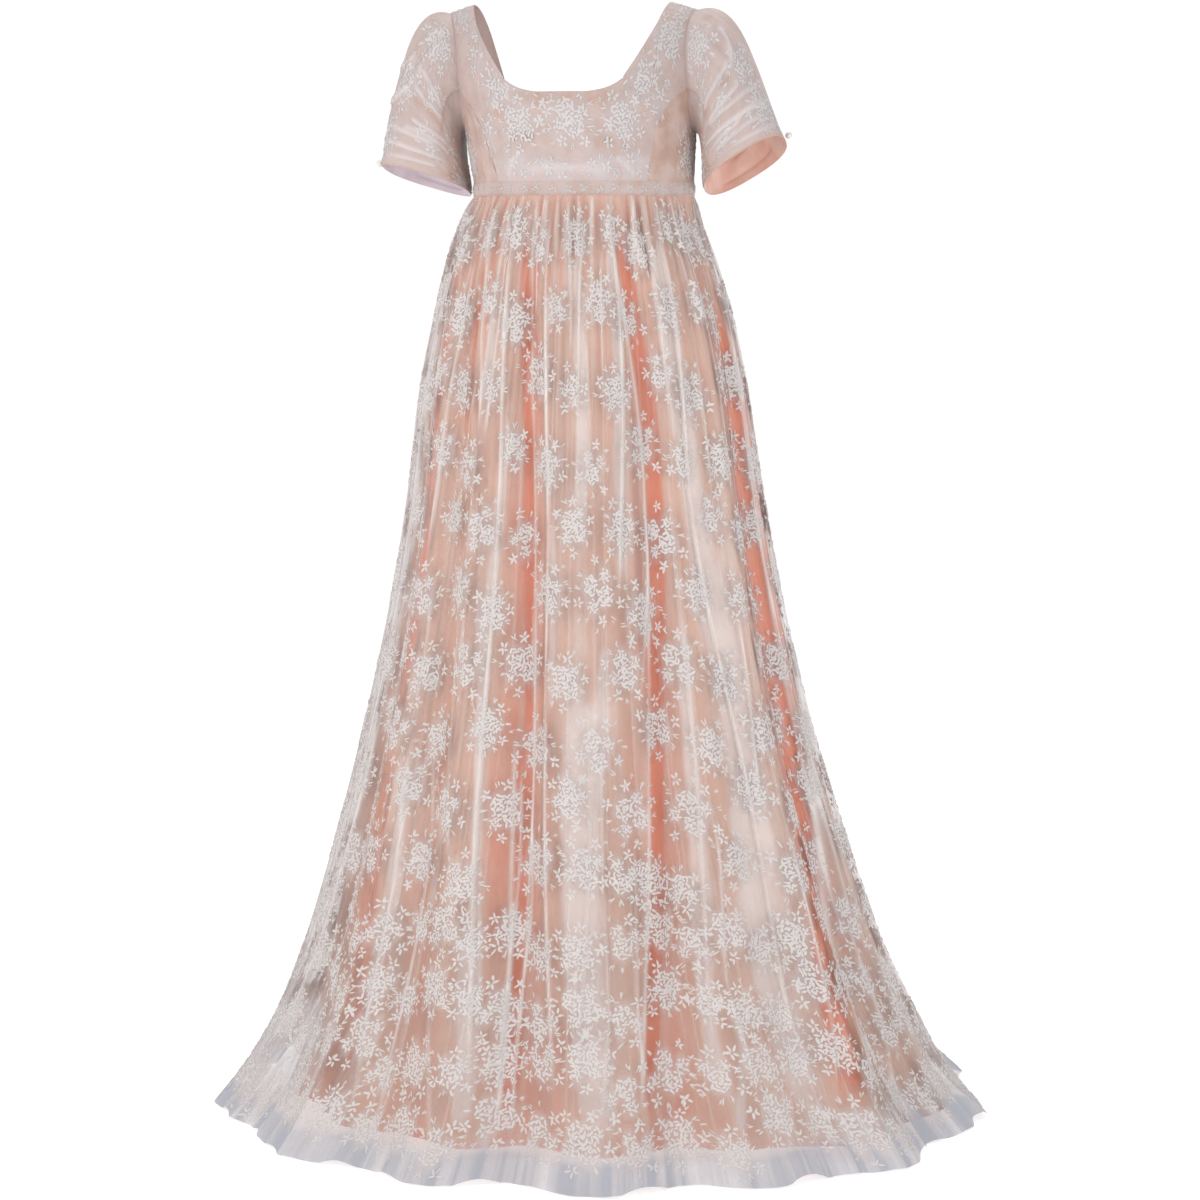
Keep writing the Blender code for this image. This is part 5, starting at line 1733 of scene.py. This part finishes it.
def make_bodice():
    panels = {
        "bodice_front": (front_panel(), FRONT_CREASES, (0.4, 0.27), 0.052),
        "bodice_side_front_left": (side_front_panel(-1), SIDE_FRONT_CREASES, (0.11, 0.12), 0.0095),
        "bodice_side_front_right": (side_front_panel(1), SIDE_FRONT_CREASES, (0.11, 0.12), 0.0095),
        "bodice_back_left": (back_panel(-1), BACK_CREASES, (0.27, 0.27), 0.031),
        "bodice_back_right": (back_panel(1), BACK_CREASES, (0.27, 0.27), 0.031),
    }
    for name, (cloth, creases, flat, area) in panels.items():
        points, cut, faces = cloth.gathered()
        normals = normals_of(points, faces)
        u = cut[:, 0] if name == "bodice_front" else np.abs(cut[:, 0])
        lift = soft_lift(u, cut[:, 1], creases)
        # Painted light in the depth mark: a painted highlight just above the waistband, spots of painted shade, and
        # painted shade in crease troughs with painted highlight on their ridges.
        depth = 0.55 - 0.72 * eased((HIGHLIGHT_BELOW - cut[:, 1]) / 0.02)
        for spot_u, spot_v, reach in BODICE_SHADE_SPOTS:
            depth = depth + 1.5 * hump(np.hypot(cut[:, 0] - spot_u, cut[:, 1] - spot_v) / reach)
        # The side fronts get painted shade, the right more than the left as the light falls from the left, with fine
        # vertical stripes of painted light and shade for small creases.
        if "side_front" in name:
            crease_stripes = np.cos(cut[:, 0] / STRIPE_EVERY * 2 * math.pi + 60 * cut[:, 1])
            depth = (2.5 if "right" in name else 1.3) + 0.35 * crease_stripes
        depth = np.clip(depth - lift / BODICE_CREASE, -0.7, 2.9)
        marks = {"depth": depth, "spray": placed_mark(BODICE_SPRAYS, cut[:, 0], cut[:, 1])}
        points = dipped(points + normals * lift[:, None], faces, normals)
        piece = add_shell(name, "laced_satin", points, cut, faces, normals, BODICE_LINING, marks)
    u, v = placed_strokes(BODICE_SPRAYS)
    keep = on_bodice(u, v).all(axis=1)
    axis = np.array([SIDE_LEAN / 2, 0.0, -0.2])
    add_embroidery("bodice_sprays", "laced_satin", bodice_lifted, u[keep], v[keep], axis, SOFT_EMBROIDERY)


BAND_STEPS = 360
BAND_ROWS = (0, 0.03, 0.08, 0.14, 0.3, 0.5, 0.7, 0.86, 0.92, 0.97, 1.0)
BAND_PROFILE = Table(
    "up proud",
    (0.0, 0.0002), (0.04, 0.0006), (0.14, 0.0008), (0.5, 0.001), (0.86, 0.0006), (0.96, 0.0004), (1.0, 0.0002),
)
BAND_STEP = (SMALL_STEP, 0.02)
BAND_CLEAR = (0.05, 0.97)
BAND_FLOWER = (("star", 0, 0, 13, 0), ("leaf", 9, 3, 10, 20))
BAND_FLOWER_EVERY = 0.023
STITCH_LENGTH, STITCH_GAP, STITCH_WIDTH, STITCH_LEVEL = 0.0026, 0.001, 0.0006, 0.1


def band_surface(u, v):
    """The band's face: u metres round it from the middle of the front, v from 0 at its foot to 1."""
    turn = bodice_turn(u)
    height = BAND_BOTTOM + (BAND_TOP - BAND_BOTTOM) * v
    points = body_point(turn, height)
    middle = np.array([SIDE_LEAN, 0.0, 0.0])
    out = unit((points - middle) * [1.0, 1.6, 0.0])
    proud = BAND_PROFILE.at("proud", v)
    ripple = 0.0003 * np.cos(np.radians(turn) * 47) * np.sin(math.pi * v)
    return points + out * (proud + ripple)[..., None]


def stitch_places():
    """(u, v) of the corners of the stitches along the band's foot."""
    around = 2 * math.pi * BODICE_AROUND
    count = int(around / (STITCH_LENGTH + STITCH_GAP))
    middles = ((np.arange(count) + 0.5) * around / count - around / 2)[:, None]
    size = np.tile((0.0, 0.0, 0.0, STITCH_LENGTH, STITCH_WIDTH), (count, 1))
    corners = stroke_corners(size)
    return middles + corners[..., 0], STITCH_LEVEL + corners[..., 1] / (BAND_TOP - BAND_BOTTOM)


def flower_places():
    """(u, v) of the corners of the flowers along the band."""
    rng = np.random.default_rng(THREAD_SEED)
    around = 2 * math.pi * BODICE_AROUND
    flower, corners = group_strokes(BAND_FLOWER), []
    for k in range(int(around / BAND_FLOWER_EVERY)):
        x, y = group_corners(spun_strokes(shaken(flower, rng), 1.1 * k, 1.0))
        level = 0.5 + 0.14 * math.sin(2.3 * k)
        corners.append(((k + 0.5) * BAND_FLOWER_EVERY - around / 2 + x, level + y / (BAND_TOP - BAND_BOTTOM)))
    u, v = joined(corners)
    keep = ((v > BAND_CLEAR[0]) & (v < BAND_CLEAR[1])).all(axis=1)
    return u[keep], v[keep]


def make_band():
    u, v = np.meshgrid(math.pi * BODICE_AROUND * np.linspace(-1, 1, BAND_STEPS + 1), BAND_ROWS)
    cloth = Cloth()
    cloth.add_grid(band_surface(u, v), stacked(u, BAND_BOTTOM + v * (BAND_TOP - BAND_BOTTOM)))
    points, cut, faces = cloth.gathered()
    uneven = 0.5 + 0.5 * np.sin(cut[:, 0] * 140.0) * np.cos(cut[:, 0] * 57.0)
    marks = {"depth": uneven, "spray": np.zeros(len(points))}
    band = add_shell("waistband", "peach_satin", points, cut, faces, normals_of(points, faces), PINK_LINING, marks)
    axis = np.array([SIDE_LEAN, 0.0, BAND_TOP])
    sewn = [
        add_embroidery(name, "peach_satin", band_surface, *places, axis, finish, BAND_STEP)
        for name, places, finish in (
            ("band_stitches", stitch_places(), EDGING), ("band_flowers", flower_places(), SOFT_EMBROIDERY)
        )
    ]


SLEEVE_COLUMNS_ROUND, SLEEVE_ROWS_DOWN = 176, 72
SLEEVE_HEM_DEPTH = {"left": 1.6, "right": 3.7}
SLIT_REACH = 3
ARMPIT_REACH = 0.042
SLEEVE_CLEAR = (0.006, 0.004)


def make_sleeve(row):
    side = row[0]
    surface = sleeve_surface(row)
    share, down = np.meshgrid(steps(SLEEVE_COLUMNS_ROUND), steps(SLEEVE_ROWS_DOWN))
    u, v = share * SLEEVE_AROUND, down * SLEEVE_LONG
    points = surface(np.where(share == 1.0, 0.0, u), v)
    width = SLIT.at("width", down[:, 0]) / 2
    for number, sign in ((0, 1), (-1, -1)):
        edge = points[:, number].copy()
        for k in range(SLIT_REACH + 1):
            across = unit(points[:, number + sign * (SLIT_REACH + 1)] - edge)
            points[:, number + sign * k] += across * (width * (1 - k / (SLIT_REACH + 1)))[:, None]
    cloth = Cloth()
    cloth.add_grid(points, stacked(u, v), side == "left")
    points, cut, faces = cloth.gathered()
    normals = normals_of(points, faces)
    axis_out = points - np.array([points[:, 0].mean(), 0.0, points[:, 2].mean()])
    if (normals * axis_out).sum() < 0:
        faces, normals = faces[:, ::-1], -normals
    round_it = np.where(cut[:, 0] > SLEEVE_AROUND / 2, cut[:, 0] - SLEEVE_AROUND, cut[:, 0])
    lift = soft_lift(round_it, cut[:, 1], SLEEVE_CREASES[side])
    hem = eased((cut[:, 1] - SLEEVE_LONG + 0.0035) / 0.0015)
    # Painted shade, turning to deep salmon, on the sleeve's inner side towards the armpit.
    armpit_shade = 3.4 * hump((cut[:, 0] - SLEEVE_AROUND / 2) / ARMPIT_REACH) * eased((cut[:, 1] - 0.05) / 0.06)
    # Crease ridges get painted highlight and troughs painted shade.
    depth = np.clip(0.35 - lift / SLEEVE_CREASE + armpit_shade, -1.2, 3.6) * (1 - hem) + SLEEVE_HEM_DEPTH[side] * hem
    marks = {"depth": depth, "spray": placed_mark(SLEEVE_SPRAYS[side], cut[:, 0], cut[:, 1])}
    # The left sleeve's inside is the lining painted as lit; the right's is the plain salmon lining.
    inside = LIT_LINING if side == "left" else PINK_LINING
    piece = add_shell("sleeve_" + side, "laced_satin", points, cut, faces, normals, inside, marks)
    u, v = placed_strokes(SLEEVE_SPRAYS[side])
    keep = (
        (np.abs(u - SLEEVE_AROUND / 2) < SLEEVE_AROUND / 2 - SLEEVE_CLEAR[0])
        & (np.abs(v - SLEEVE_LONG / 2) < SLEEVE_LONG / 2 - SLEEVE_CLEAR[1])
    ).all(axis=1)
    middle = points.mean(axis=0)
    add_embroidery("sleeve_sprays_" + side, "laced_satin", surface, u[keep], v[keep], middle, SOFT_EMBROIDERY)


PEARL_RINGS, PEARL_SIDES = 13, 24


def make_pearl(side):
    node = "sleeve_button_" + side
    low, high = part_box(node)
    middle = (np.array(low) + np.array(high)) / 2
    tall, turn = np.meshgrid(math.pi * steps(PEARL_RINGS), 2 * math.pi * steps(PEARL_SIDES), indexing="ij")
    radius = PEARL_RADIUS * (1.0 + 0.02 * np.sin(3 * turn) * np.sin(tall))
    out = radius * np.sin(tall)
    points = middle + stacked(out * np.cos(turn), out * np.sin(turn), radius * np.cos(tall))
    cloth = Cloth()
    cloth.add_grid(points, np.zeros((*tall.shape, 2)), True)
    points, _, faces = cloth.gathered()
    seated(add_mesh("pearl_" + side, points, faces, [PEARL]), "pearl", node)


# ---- floor, lights and camera ----

CAMERA_DISTANCE = 4.0
CAMERA_HEIGHT = 1.1
AIM_RIGHT, AIM_HEIGHT = 0.0208, -0.7686
LENS, SENSOR = 92.36, 36.0
SEEN_LIGHT, ROOM_LIGHT = 1.05, 0.6
FLOOR_REACH = 60.0
LIGHTS_AIM = (0.0, 0.0, -0.7)
# name, place, size, power, colour
LIGHTS = (
    ("key", (-2.6, -3.0, 1.2), 1.6, 62.0, (1.0, 0.985, 0.965)),
    ("fill", (2.8, -2.6, 0.3), 2.0, 30.0, (0.97, 0.98, 1.0)),
    ("top", (0.2, 0.8, 2.2), 1.8, 25.0, (1.0, 1.0, 1.0)),
)


def make_floor():
    corners = ((-1, -1), (1, -1), (1, 1), (-1, 1))
    points = np.array([(FLOOR_REACH * x, FLOOR_REACH * y, FLOOR) for x, y in corners])
    floor = add_mesh("floor", points, np.array([[0, 1, 2, 3]]), [floor_finish()])


def make_light(name, place, size, power, colour):
    lamp = bpy.data.lights.new(name, "AREA")
    lamp.shape, lamp.size, lamp.energy, lamp.color = "DISK", size, power, colour
    holder = bpy.data.objects.new(name, lamp)
    bpy.context.scene.collection.objects.link(holder)
    holder.location = place
    direction = Vector(LIGHTS_AIM) - Vector(place)
    holder.rotation_euler = direction.to_track_quat("-Z", "Y").to_euler()


def make_lights():
    for row in LIGHTS:
        make_light(*row)
    world = bpy.data.worlds.new("studio")
    bpy.context.scene.world = world
    world.use_nodes = True
    background = world.node_tree.nodes["Background"]
    background.inputs["Color"].default_value = (1.0, 1.0, 1.0, 1.0)
    seen = world.node_tree.nodes.new("ShaderNodeLightPath").outputs["Is Camera Ray"]
    strength = world.node_tree.nodes.new("ShaderNodeMapRange")
    strength.inputs["To Min"].default_value = ROOM_LIGHT
    strength.inputs["To Max"].default_value = SEEN_LIGHT
    world.node_tree.links.new(seen, strength.inputs["Value"])
    world.node_tree.links.new(strength.outputs[0], background.inputs["Strength"])
    bpy.context.scene.view_settings.view_transform = "Standard"


def make_camera():
    turn = math.radians(CAMERA_TURN)
    axis = np.array([SIDE_LEAN, 0.0, 0.0])
    sideways = np.array([math.cos(turn), math.sin(turn), 0.0])
    back = np.array([math.sin(turn), -math.cos(turn), 0.0])
    eye = axis + back * CAMERA_DISTANCE + np.array([0.0, 0.0, FLOOR + CAMERA_HEIGHT])
    aim = axis + sideways * AIM_RIGHT + np.array([0.0, 0.0, AIM_HEIGHT])
    lens = bpy.data.cameras.new("camera")
    lens.lens, lens.sensor_width = LENS, SENSOR
    lens.clip_end = 200.0
    camera = bpy.data.objects.new("camera", lens)
    bpy.context.scene.collection.objects.link(camera)
    camera.location = eye
    camera.rotation_euler = Vector(aim - eye).to_track_quat("-Z", "Y").to_euler()
    bpy.context.scene.camera = camera


make_floor()
make_lights()
make_camera()
make_skirt()
make_skirt_embroidery()
make_bodice()
make_band()
for sleeve_row in SLEEVES:
    make_sleeve(sleeve_row)
    make_pearl(sleeve_row[0])
